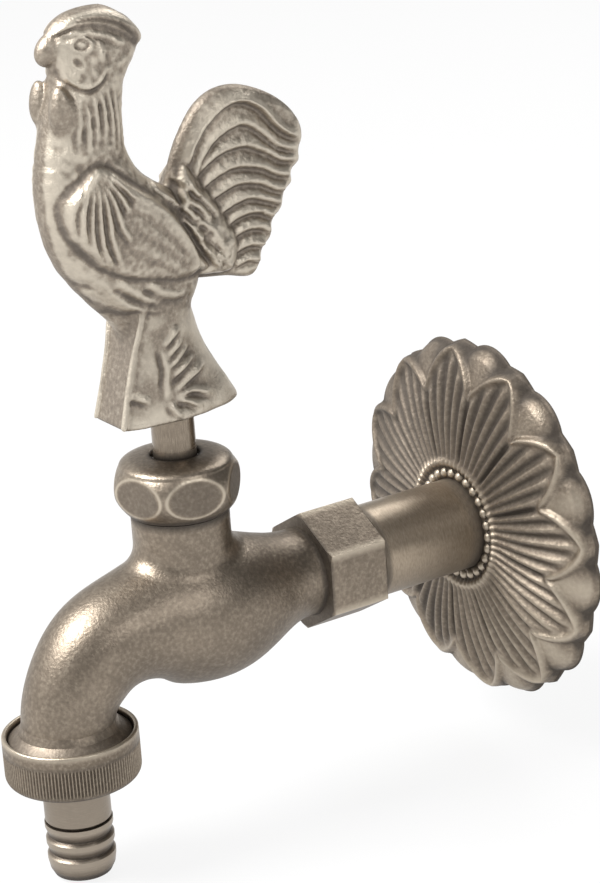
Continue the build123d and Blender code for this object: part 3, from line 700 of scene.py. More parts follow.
@dataclass
class Cockerel:
    """The cockerel on its plinth, cast in a two-part mould. Each side is a relief over the plane of
    symmetry: a half-width worked out for every (y, z). Sizes are in millimetres, y from the spindle's
    axis and z from the inlet's."""

    axis_y: float = -86.44
    base: float = 48.5
    cell: float = 0.25
    step: float = 0.4
    stem_hole: float = 5.1
    stem_top: float = 50.0
    sheet_low: tuple = (-32.0, 44.0)
    sheet_high: tuple = (44.0, 146.0)
    grid_low: tuple = (-12.9, -31.5, 47.2)
    grid_high: tuple = (12.9, 42.0, 144.2)
    # z, front, back and half-width of the level ellipses of the trunk, neck and head
    trunk: tuple = (
        (66, -10.6, 3.4, 4.2), (72, -13.6, 6, 6.2), (78, -18.9, 9, 8.3), (85, -24.2, 10, 9.8),
        (92, -27.3, 8, 10.5), (99, -28.5, 4, 10.4), (105, -28.5, -3.4, 9.3), (112, -27.4, -7, 8),
        (120.2, -25.3, -6.9, 7.15), (124, -24, -6.4, 7), (127.5, -23, -5, 6.8), (130.8, -22.8, -2.6, 6.6),
        (134, -22.8, -0.9, 6.2), (136.5, -22.4, -0.9, 5.7), (139.5, -20.4, -3.4, 4.4), (141, -18, -6, 2.8),
    )
    # z, front, back and half-width of the plinth
    plinth: tuple = (
        (47.6, -22, 17.6, 9.1), (50.5, -21.2, 16.4, 8.8), (57, -19.6, 12.6, 7.9), (64, -18.4, 9, 7.3),
        (70, -17.6, 7.2, 7.5), (75.4, -17, 5.9, 7.4), (79, -16.6, 5, 6.6),
    )
    plinth_top: float = 79.0
    front_foot: float = -16.3
    front_lean: float = 0.27
    # the tail's outline, with a notch between each pair of feather tips
    tail_line: tuple = (
        (1.6, 97), (5.4, 106.5), (8.6, 112.2), (12.6, 116.9), (17.6, 119.4), (23.6, 119.4), (30.6, 116.6),
        (36, 112.6), (39, 108.2), (39.4, 104.8), (38.3, 101.9), (38.2, 99.4), (36, 97.5), (35.7, 94.7),
        (33.6, 92.8), (32.6, 89.5), (29.9, 86.9), (29.2, 83.5), (26.8, 81), (25.6, 77.6), (22.8, 75.3),
        (16.8, 76.6), (10, 77.6), (3, 79), (-1, 88),
    )
    tail_thick: float = 2.5
    tail_rim: float = 2.2
    # the ridge of the rump, under the tail's root
    rump_line: tuple = ((-1, 102), (5, 94), (11, 84))
    rump_thick: float = 6.6
    rump_reach: float = 9.0
    comb_line: tuple = (
        (-22.4, 138), (-21.4, 139.8), (-19.4, 141.4), (-15.6, 142.9), (-9.8, 142.9), (-5.2, 140.6),
        (-1.6, 137.2), (-0.3, 134.6), (-1.4, 132.9), (-4, 132.6), (-6.5, 134.8), (-9.8, 136.9),
        (-13.5, 138.2), (-17.3, 138.8), (-20.6, 138.4),
    )
    comb_middle: tuple = (-12.0, 136.0)
    comb_reach: tuple = (13.2, 6.95)
    comb_thick: float = 5.7
    comb_rim: float = 1.2
    face_line: tuple = (
        (-23.6, 135), (-22.4, 137), (-18, 138.4), (-13.5, 137.9), (-11.8, 135.6), (-12.6, 131.6),
        (-14.3, 128.4), (-16.8, 127.2), (-18.9, 127.6), (-20.9, 129.4), (-22.2, 132),
    )
    wing_line: tuple = (
        (-21.6, 107.6), (-18.4, 109.9), (-15.4, 109.3), (-10.1, 105.1), (-4.3, 100.4), (0.1, 96), (4.4, 90.1),
        (8.2, 83.6), (9, 81.3), (6, 80.8), (1.6, 81), (-6.1, 82.7), (-12.3, 84.1), (-15.6, 85.7),
        (-20.2, 88.6), (-24.9, 95), (-26.4, 101), (-24.7, 105.2),
    )
    shoulder: tuple = (-20, 104)
    # from the shoulder to the wing's tip, and the wing's half-width at shares of that way
    wing_way: tuple = (29, -23)
    wing_swell: tuple = ((-0.2, 9.4), (0.05, 10.4), (0.3, 11.3), (0.6, 10.2), (0.85, 8.2), (1.05, 6.4))
    wing_dome: float = 0.018
    eye_middle: tuple = (-17.2, 135.9)
    eye_reach: tuple = (1.95, 1.5)
    beak_middle: tuple = (-21.4, 135.0)
    beak_reach: tuple = (3.0, 4.3, 3.7)
    wattle_middle: tuple = (4.3, -22.6, 122.4)
    wattle_reach: tuple = (2.9, 2.9, 5.5)
    comb_streaks: Ribs = Ribs((
        ((-21.2, 139.6), (-17, 140.4), (-12.6, 140.1), (-8.2, 138.4), (-4.6, 135.8)),
        ((-20, 140.9), (-15.6, 141.6), (-11.2, 141.2), (-6.8, 139.4), (-3, 136.4)),
        ((-10, 138.4), (-6.8, 136.8), (-4.2, 134.6)),
    ), height=0.32, width=0.5, lean=1.8, groove=0.25)
    brow: Ribs = Ribs((
        ((-22.2, 136.9), (-20, 138.2), (-17, 138.4), (-13.6, 137.8), (-10, 136.2), (-7, 133.9)),
    ), height=0.4, width=0.5, lean=1.4, groove=0.2)
    temple: Ribs = Ribs((
        ((-14, 134.4), (-13, 131.6), (-12.6, 128.6)), ((-20.6, 133.6), (-20, 130.6), (-18.6, 128.8)),
    ), height=0.15, width=0.6, groove=0.1)
    cheek: Ribs = Ribs((
        ((-21.4, 132.2), (-21, 129.2), (-18.9, 127.4), (-16.8, 127), (-14.3, 128.2), (-12.8, 130.6)),
    ), height=0.55, width=0.5, groove=0.5)
    hackles: Ribs = Ribs((
        ((-23.2, 119), (-24.2, 115.4), (-24.6, 111.8)),
        ((-21.6, 126), (-21.9, 121), (-23.3, 114.8), (-22.9, 111.2)),
        ((-19.5, 126.6), (-20, 121.4), (-21, 116), (-21.2, 112.2)),
        ((-18, 126), (-18.1, 120.6), (-18.9, 115), (-19.4, 110.8)),
        ((-16.6, 126.2), (-16.2, 121), (-16.8, 115.8), (-17.5, 111.6)),
        ((-14.9, 126.4), (-14.2, 121.4), (-14.6, 116.2), (-15.4, 112.6)),
        ((-13, 126.8), (-12.3, 121.8), (-12.1, 117), (-12.9, 112.8)),
        ((-11.2, 127.6), (-10.5, 122), (-10.1, 116.4), (-10.3, 111.8)),
        ((-9.6, 126), (-8.9, 120.4), (-8.5, 115.4), (-8, 111.4)),
    ), height=0.5, width=0.5, lean=1.3, groove=0.3, fade=0.3)
    # fan of the wing's coverts, from the shoulder, and the long streaks of its flight feathers
    coverts: Ribs = Ribs((
        ((-22.9, 105.7), (-26.2, 102), (-26.4, 98.6), (-25.4, 95.6)),
        ((-22.2, 106.1), (-25.5, 101.6), (-25.6, 97), (-23.8, 92.6)),
        ((-21.6, 106.4), (-24.7, 101.2), (-24.5, 95.8), (-22.4, 91.6)),
        ((-20.4, 106.8), (-22.9, 100.6), (-22.6, 94.2), (-20.4, 89.6)),
        ((-19.3, 106.8), (-21.1, 100.1), (-20.8, 93.1), (-18.4, 87.9)),
        ((-18.3, 106.6), (-19.3, 99.7), (-18.9, 92.6), (-16.4, 86.8)),
        ((-17.5, 106.6), (-17.3, 99.8), (-16.8, 93.4), (-14.4, 86.6)),
        ((-16.8, 106.8), (-15.4, 101), (-14.4, 96.2), (-12, 91.8)),
        ((-16.2, 107.4), (-13.8, 102.9), (-12.2, 98.8)), ((-15.4, 107.9), (-12.2, 104.2), (-9.6, 101.2)),
    ), height=0.7, width=0.55, lean=1.2, groove=0.4)
    flights: Ribs = Ribs((
        ((-11.6, 101.6), (-4.8, 96), (0.6, 90.4), (5.4, 84.6)),
        ((-12, 97), (-5.6, 92.2), (-0.4, 87.8), (4.4, 83.2)),
        ((-13, 92.4), (-7.4, 88.8), (-2.6, 85.6), (1.6, 82.8)),
    ), height=0.14, width=0.8, lean=2.0, groove=0.1)
    tail_feathers: Ribs = Ribs((
        ((7.2, 103), (9.2, 108), (12.7, 112.4), (17.9, 115.9), (22.9, 116.5), (27.7, 114), (31.5, 109.4),
         (35, 106.6), (38.6, 105)),
        ((8.4, 100.8), (11.6, 105.8), (16.4, 109.6), (22.4, 111.3), (27, 109), (31, 105.2), (35, 103.2),
         (38, 102.8)),
        ((7.9, 99.7), (11, 102.8), (16.1, 105.6), (22.8, 106.3), (28.5, 103.8), (32.6, 101.2),
         (37.3, 100.4)),
        ((9.2, 97.6), (14.1, 100.4), (19.9, 101.9), (26.5, 100.6), (31.4, 98), (36, 96.9)),
        ((11.2, 94.8), (15.4, 96.6), (20.5, 98), (26.2, 97), (30.4, 94.8), (34.4, 93.6)),
        ((13.4, 91.4), (18.4, 93.4), (23.4, 94.2), (28.6, 92.4), (32.6, 90.6)),
        ((15, 88.3), (20.7, 90.6), (25.8, 90.4), (30.4, 87.8)),
        ((15.8, 85.2), (21.1, 87), (25.4, 86.8), (29.2, 84.6)), ((17, 82), (22.2, 83.4), (27.2, 82.2)),
        ((17.8, 79.2), (21.8, 79.9), (25.4, 78.9)),
    ), height=1.0, width=0.65, lean=2.3, groove=0.4, fade=0.1)
    # short feathers of the back, from the wing down to the roots of the tail
    saddle: Ribs = Ribs((
        ((-3.4, 103), (-0.2, 100), (2.4, 97.6)), ((-0.4, 102.6), (3.2, 99.6), (5.8, 96.2)),
        ((2.6, 103.6), (6, 100.6), (8.8, 97)), ((1.4, 98.2), (4.4, 95.6), (7, 92.4)),
        ((5.4, 97.6), (8.4, 95), (11, 91.8)), ((2.8, 94.4), (5.6, 91.2), (8, 87.6)),
        ((7.6, 92.6), (10.8, 89.8), (13.4, 86.2)), ((4.8, 90.6), (7.4, 87.2), (9.6, 83.6)),
        ((9.8, 88.6), (12.8, 85.6), (15.4, 82.2)), ((8, 86.4), (10.6, 83), (12.8, 79.8)),
        ((11.4, 84.6), (14, 81.8), (16.4, 78.9)), ((6.9, 102.8), (7.4, 99.6), (10.3, 96.3), (14, 92)),
    ), height=0.75, width=0.6, lean=1.8, groove=0.4)
    thigh: Ribs = Ribs((
        ((-27, 87.6), (-23.4, 85.8), (-18.9, 83.5), (-15.3, 80.2), (-12.2, 77.2), (-7, 75.3),
         (-1.4, 74.6)),
        ((-21.6, 82.4), (-17.4, 79.8), (-14.1, 76.9), (-11.2, 74.2)),
        ((-16.4, 84), (-12.4, 80.9), (-8.2, 78.2), (-3, 76.8)),
        ((-9, 82.4), (-5.6, 79.6), (-1.6, 77.6), (2.6, 77.2)),
    ), height=0.7, width=0.9, lean=1.4, groove=0.5)
    folds: Ribs = Ribs((
        ((-5.5, 67.5), (-5, 63.6), (-4.7, 60.8), (-5.3, 57.6), (-5.8, 53.5)),
        ((-5, 65.6), (-2.7, 68), (0, 70)), ((-4.7, 63.2), (-1.9, 65.2), (0.8, 66.8)),
        ((-4.4, 60.8), (-0.5, 63.5), (2.7, 65.4)), ((-4.6, 58), (0.3, 61), (4.1, 62.6)),
        ((-4.8, 55.6), (-1.7, 56.7), (2.7, 58.5), (7.1, 60.3)),
        ((-4.6, 54.4), (0.2, 55.1), (4.4, 53.9), (8.4, 51.5)),
        ((-4.5, 54), (-1.5, 53.4), (1, 52.1), (4, 49.9)), ((-5.3, 54), (-4.3, 51.7), (-2.5, 48.9)),
        ((-14.4, 56.9), (-12.4, 55.8), (-9.2, 54.2)),
    ), height=0.9, width=0.65, lean=1.8, groove=0.35, fade=0.35)
    skin: Uneven = Uneven(1, 3, 0.05)
    wing_skin: Uneven = Uneven(1, 4, 0.05)
    saddle_rough: Uneven = Uneven(2, 5, 0.14)
    neck_rough: Uneven = Uneven(2, 8, 0.1)
    breast_rough: tuple = (Uneven(4, 9, 0.12), Uneven(2, 10, 0.08))
    plinth_rough: Uneven = Uneven(5, 11, 0.16)
    hackle_patches: Uneven = Uneven(8, 21, 0.35)
    hackle_ends: Uneven = Uneven(7, 31, 1.1)

    def sheet(self) -> None:
        """Lays out the grid of (y, z) for the relief, with every place's distance in from the outlines."""
        self.low = np.array(self.sheet_low)
        counts = np.round((np.array(self.sheet_high) - self.low) / self.cell).astype(int) + 1
        axes = [low + np.arange(count) * self.cell for low, count in zip(self.low, counts)]
        self.y, self.z = np.meshgrid(*axes, indexing="ij")
        self.tail_gap, self.comb_gap, self.face_gap, self.wing_gap = (
            line_field(spline(line, 8, True), self.y, self.z, True)[0]
            for line in (self.tail_line, self.comb_line, self.face_line, self.wing_line)
        )

    def stack(self, rows: tuple) -> np.ndarray:
        """Squared half-width of level ellipses: w^2 (1 - ((y - c) / a)^2), with c, a and w smooth in z.

        Args:
            rows: z, front, back and half-width of each ellipse, upwards.

        Returns:
            Numbers over the grid, negative outside.
        """
        curve = spline(rows, 16)
        front, back, wide = (np.interp(self.z, curve[:, 0], curve[:, k]) for k in (1, 2, 3))
        share = (2 * self.y - front - back) / (back - front)
        square = wide ** 2 * (1 - share ** 2)
        outside = np.maximum(rows[0][0] - self.z, self.z - rows[-1][0])
        return np.where(outside > 0, -30.0 * outside, square)

    def strokes(self, ribs: Ribs) -> np.ndarray:
        """Heights of one kind of ribs, each worked out in a window round its line.

        Args:
            ribs: the lines and their measures.

        Returns:
            Heights over the grid.
        """
        out = np.zeros_like(self.y)
        margin = 3.0 * ribs.width * max(ribs.lean, 1.0) + 1.0
        for line in ribs.lines:
            path = spline(line, 6)
            low = np.floor((path.min(0) - margin - self.low) / self.cell).astype(int).clip(0)
            high = np.ceil((path.max(0) + margin - self.low) / self.cell).astype(int)
            window = (slice(low[0], high[0]), slice(low[1], high[1]))
            side, along = line_field(path, self.y[window], self.z[window])
            ridge = np.exp(-(side / np.where(side > 0, ribs.width * ribs.lean, ribs.width)) ** 2)
            cut = bell(side, -1.9 * ribs.width, 0.9 * ribs.width)
            ends = ease(0.0, ribs.fade, along) * ease(1.0, 1.0 - ribs.fade, along)
            out[window] += (ridge * ribs.height - cut * ribs.groove) * ends
        return out

    def tail(self) -> tuple:
        """Tail and rump: a plate with a rim of quarter circles, and an ellipse across the rump's ridge.

        Returns:
            The half-width of both, and the distance to the rump's ridge.
        """
        edge = arc(self.tail_gap, self.tail_rim)
        shafts = self.tail_feathers
        upper = replace(shafts, lines=shafts.lines[:1], height=0.6, width=0.7, lean=1.0, groove=0.0)
        feathers = self.strokes(shafts) + self.strokes(upper)
        plate = (self.tail_thick + feathers * ease(0.2, 1.6, self.tail_gap)) * edge
        ridge, _ = line_field(spline(self.rump_line, 6), self.y, self.z)
        arch = np.sqrt(np.maximum(0, 1 - (ridge / self.rump_reach) ** 2))
        return np.maximum(plate, self.rump_thick * arch * ease(0.0, 2.5, self.tail_gap)), ridge

    def plumage(self, ridge: np.ndarray) -> np.ndarray:
        """Relief outside the wing: saddle, hackles with ragged ends, thigh and breast.

        Args:
            ridge: distance to the rump's ridge, near which the saddle is rough.

        Returns:
            Heights over the grid.
        """
        y, z, shape = self.y, self.z, self.y.shape
        rough = self.saddle_rough.over(shape) * ease(9.0, 6.0, np.abs(ridge)) * ease(0.5, -0.5, self.wing_gap)
        relief = (self.strokes(self.saddle) + rough) * ease(0.8, -0.4, self.wing_gap) + self.skin.over(shape)
        relief += self.strokes(self.hackles) * (0.7 + self.hackle_patches.over(shape))
        relief += self.neck_rough.over(shape) * ease(104.0, 112.0, z) * ease(-3.0, -7.0, y)
        relief += 0.3 * ease(-1.2, 1.2, z - 111.6 - self.hackle_ends.over(shape)) * ease(-4.0, -8.0, y)
        relief += self.strokes(self.thigh) * ease(0.6, -0.4, self.wing_gap)
        breast = ease(-17.0, -21.0, y) * ease(82.0, 86.0, z) * ease(113.0, 109.0, z)
        return relief + sum(rough.over(shape) for rough in self.breast_rough) * breast

    def wing(self, half: np.ndarray) -> np.ndarray:
        """Half-width of the folded wing: it swells along its way and falls off with the square across it.

        Args:
            half: half-width of the body below, which the wing stands proud of by a bounded step.

        Returns:
            Half-width over the grid.
        """
        y, z = self.y - self.shoulder[0], self.z - self.shoulder[1]
        dy, dz = self.wing_way
        along = (y * dy + z * dz) / (dy ** 2 + dz ** 2)
        across = (z * dy - y * dz) / np.hypot(dy, dz)
        shell = np.interp(along, *np.transpose(self.wing_swell)) - self.wing_dome * (across + 1) ** 2
        shell = np.minimum(shell, half + 0.7 + 0.5 * np.maximum(self.wing_gap, 0))
        feathers = self.strokes(self.coverts) + self.strokes(self.flights)
        return np.maximum(half + 0.5, shell) + feathers + self.wing_skin.over(y.shape)

    def face(self) -> np.ndarray:
        """Relief of the face's patch, cheek, brow, temple, ringed eye and the small mark below it.

        Returns:
            Heights over the grid.
        """
        y, z = self.y, self.z
        relief = 0.35 * ease(-0.3, 1.2, self.face_gap)
        relief += sum(self.strokes(ribs) for ribs in (self.cheek, self.brow, self.temple))
        (eye_y, eye_z), (reach_y, reach_z) = self.eye_middle, self.eye_reach
        eye = np.hypot((y - eye_y) / reach_y, (z - eye_z) / reach_z)
        relief += 0.35 * bell(eye, 1, 0.2) - 0.3 * bell(eye, 0.66, 0.2) + 0.25 * bell(eye, 0, 0.4)
        mark = np.hypot((y + 18.7 + 0.3 * (z - 132.4)) / 1.1, (z - 132.2) / 1.5)
        return relief + 0.2 * bell(mark, 1, 0.35) - 0.2 * bell(mark, 0, 0.6)

    def comb(self) -> tuple:
        """Comb: the part of an ellipsoid inside the comb's outline, with streaks and a round rim.

        Returns:
            Its half-width, and 1 less the squared share of the ellipsoid's reach.
        """
        (y, z), (reach_y, reach_z) = self.comb_middle, self.comb_reach
        dome = np.maximum(0, 1 - ((self.y - y) / reach_y) ** 2 - ((self.z - z) / reach_z) ** 2)
        cap = self.comb_thick * np.sqrt(dome)
        cap = cap + self.strokes(self.comb_streaks) * ease(0.0, 2.0, cap)
        return cap * arc(self.comb_gap, self.comb_rim), dome

    def body_relief(self) -> np.ndarray:
        """Squared half-width of trunk, tail, wings, head and comb.

        Returns:
            Numbers over the grid, negative outside the outline.
        """
        trunk = self.stack(self.trunk)
        tail, ridge = self.tail()
        bare = np.maximum(np.sqrt(np.maximum(trunk, 0)), tail)
        half = bare + self.plumage(ridge) * ease(0.3, 2.0, bare)
        lap = ease(-0.3, 1.4, self.wing_gap)
        half = half * (1 - lap) + self.wing(bare) * lap - 0.35 * bell(self.wing_gap, -0.5, 0.5) * (half > 2)
        half = half + self.face() * ease(0.8, 2.4, half)
        cap, dome = self.comb()
        half = np.maximum(half, np.where(dome > 0, cap, 0))
        comb_side = np.minimum(self.comb_gap * 5.0, 30 * (dome - 0.02))
        outside = np.maximum(np.maximum(trunk, self.tail_gap * 5.0), comb_side)
        return np.where(half > 0, half ** 2, np.minimum(outside, 0))

    def plinth_relief(self) -> np.ndarray:
        """Squared half-width of the plinth with its folds, before the flat front is cut.

        Returns:
            Numbers over the grid, negative outside the plinth.
        """
        square = self.stack(self.plinth)
        half = np.sqrt(np.maximum(square, 0))
        relief = (self.strokes(self.folds) + self.plinth_rough.over(self.y.shape)) * ease(0.5, 2.5, half)
        return np.where(square > 0, (half + relief) ** 2, square)

    def sample(self, sheet: np.ndarray, y: np.ndarray, z: np.ndarray) -> np.ndarray:
        """Value of a sheet at any places, linear between its cells.

        Args:
            sheet: numbers over the grid.
            y: the places' distances from the stem's axis.
            z: the places' heights.

        Returns:
            A number for each place.
        """
        u = np.clip((y - self.low[0]) / self.cell, 0, sheet.shape[0] - 1.001)
        v = np.clip((z - self.low[1]) / self.cell, 0, sheet.shape[1] - 1.001)
        i, j = u.astype(int), v.astype(int)
        s, t = u - i, v - j
        lower = sheet[i, j] * (1 - t) + sheet[i, j + 1] * t
        upper = sheet[i + 1, j] * (1 - t) + sheet[i + 1, j + 1] * t
        return lower * (1 - s) + upper * s

    def depth(self, sheet: np.ndarray, x: np.ndarray, y: np.ndarray, z: np.ndarray) -> np.ndarray:
        """About how deep a place lies under a relief: (h^2 - x^2) / (h + |x|), divided by 2 at least."""
        square = self.sample(sheet, y, z)
        return (square - x * x) / np.maximum(np.sqrt(np.maximum(square, 0)) + np.abs(x), 2.0)

    def front(self, y: np.ndarray, z: np.ndarray) -> np.ndarray:
        """How far behind the plinth's flat, leaning front a place lies."""
        return y - self.front_foot - (z - self.base) * self.front_lean

    def solid(self, x: np.ndarray, y: np.ndarray, z: np.ndarray) -> np.ndarray:
        """About how deep places lie in the casting: both reliefs, wattles and beak, less the stem's hole.

        Args:
            x: distances from the plane of symmetry.
            y: distances from the stem's axis.
            z: heights.

        Returns:
            A number for each place, positive inside.
        """
        body = self.depth(self.square, x, y, z)
        side = self.depth(self.foot, x, y, z)
        front = self.front(y, z)
        bead = 0.65 - np.hypot(side - 0.15, front - 0.15)
        foot = joined(-joined(-side, -front, 0.5), bead, 0.2)
        foot = np.minimum(foot, self.plinth_top - z)
        (apart, drop_y, drop_z), (wide, deep, high) = self.wattle_middle, self.wattle_reach
        swell = 1.08 - 0.32 * np.clip((z - drop_z) / 5.2, -1, 1)
        drop_y = (y - drop_y + 0.12 * (z - 122)) / (deep * swell)
        drop = np.sqrt(((np.abs(x) - apart) / wide) ** 2 + drop_y ** 2 + ((z - drop_z) / high) ** 2)
        (beak_y, beak_z), (wide, deep, high) = self.beak_middle, self.beak_reach
        beak_z = (z - beak_z - 0.25 * (y + 22)) / high
        beak = np.sqrt((x / wide) ** 2 + beak_z ** 2 + ((y - beak_y) / deep) ** 2)
        whole = joined(joined(body, (1 - drop) * 2.5, 1.8), (1 - beak) * 2.8, 1.6)
        whole = -joined(-joined(whole, foot, 1.6), self.base - z, 1.5)
        hole = np.where(z < self.stem_top, np.hypot(x, y) - self.stem_hole, 9.0)
        return np.minimum(whole, hole)

    def to_surface(self, points: np.ndarray, probe: float = 0.08) -> np.ndarray:
        """One Newton step towards the solid's zero surface, at most half a grid step long.

        Args:
            points: (n, 3) places near the surface.
            probe: half the distance over which the slope is measured.

        Returns:
            The moved places.
        """
        slope = np.stack([
            (self.solid(*(points + probe * way).T) - self.solid(*(points - probe * way).T)) / (2 * probe)
            for way in np.eye(3)
        ], 1)
        move = slope * (-self.solid(*points.T) / np.maximum((slope ** 2).sum(1), 0.05))[:, None]
        size = np.linalg.norm(move, axis=1, keepdims=True)
        return points + move * np.minimum(1, 0.5 * self.step / np.maximum(size, 1e-9))

    def wear_and_shade(self, half: np.ndarray) -> np.ndarray:
        """Wear and painted light over the grid: the relief less its blur, fine and coarse, which also paints
        the fall at the outline's edge dark, less painted shade for each region, negative where a region is
        painted lighter.

        Args:
            half: half-width over the grid.

        Returns:
            Numbers from -1 in hollows and painted shade to 1 on edges and painted highlights.
        """
        y, z, rim = self.y, self.z, self.tail_gap
        ridges = (half - blurred(half, 3)) / 0.3 + (half - blurred(half, 9)) / 1.1
        # Painted shade: the tail's rim band, the back of the neck, the comb and the wing's front are painted
        # darker;
        # the tail and the figure's lowest part are painted lighter.
        rim_shade = ease(4.2, 2.6, rim) * ease(100.0, 106.0, z) * ease(0.0, 3.0, y) * ease(-0.2, 0.4, rim)
        nape_shade = ease(-8.5, -5.5, y) * ease(110.0, 116.0, z) * ease(1.0, -1.0, rim)
        shade = 0.45 * rim_shade + 0.5 * nape_shade + 1.5 * ease(0.0, 1.5, self.comb_gap)
        shade += 0.4 * ease(-18.5, -21.5, y) * ease(0.2, 1.2, self.wing_gap)
        shade -= 0.6 * ease(6.0, 11.0, y) * ease(1.6, 3.0, rim) + 0.25 * ease(76.0, 70.0, z)
        wear_and_shade = np.clip(ridges * ease(0.8, 2.8, half) - shade, -1, 1)
        # Hollows are painted less dark on the tail.
        return np.where(wear_and_shade < 0, (0.75 - 0.3 * ease(6.0, 11.0, y)) * wear_and_shade, wear_and_shade)

    def tone(self, points: np.ndarray) -> np.ndarray:
        """Wear and painted light of each point: the grid's, an even one off the relief, and its own on the
        plinth's front.

        Args:
            points: (n, 3) places.

        Returns:
            A number for each point.
        """
        x, y, z = points.T
        half = np.sqrt(np.maximum(np.maximum(self.square, self.foot * (self.z < 77)), 0))
        out = ease(0.1, 0.7, np.abs(x) - self.sample(half, y, z))
        tone = self.sample(self.wear_and_shade(half), y, z) * (1 - out) + 0.1 * out
        side, front = self.depth(self.foot, x, y, z), self.front(y, z)
        near = ease(78.0, 74.0, z) * bell(front, 0, 3.0)
        flat = ease(0.6, 1.6, side)
        edge = bell(np.hypot(side, front), 0, 0.6) - 0.6 * bell(front, 1.3, 0.5) * ease(1.2, 0.4, side)
        tone = tone * (1 - near * flat) + near * (edge - 0.2 * near * flat)
        return tone - 0.7 * ease(49.3, 48.3, z)

    def build(self) -> bpy.types.Object:
        """Makes the cockerel's mesh, moved on to its solid's zero surface by three Newton steps.

        Returns:
            The cockerel.
        """
        self.sheet()
        self.square = self.body_relief()
        self.foot = self.plinth_relief()
        low = np.array(self.grid_low)
        counts = np.ceil((np.array(self.grid_high) - low) / self.step).astype(int) + 1
        axes = [start + np.arange(count) * self.step for start, count in zip(low, counts)]
        points, faces = surface_net(self.solid(*np.meshgrid(*axes, indexing="ij")), low, self.step)
        for _ in range(3):
            points = self.to_surface(points)
        figure = put_mesh("cockerel", points + np.array([0, self.axis_y, 0]), faces, self.tone(points))
        dress(figure, Finish.FIGURE)
        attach(figure, "spindle")
        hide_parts("rooster_handle")
        return figure


# Wall rose


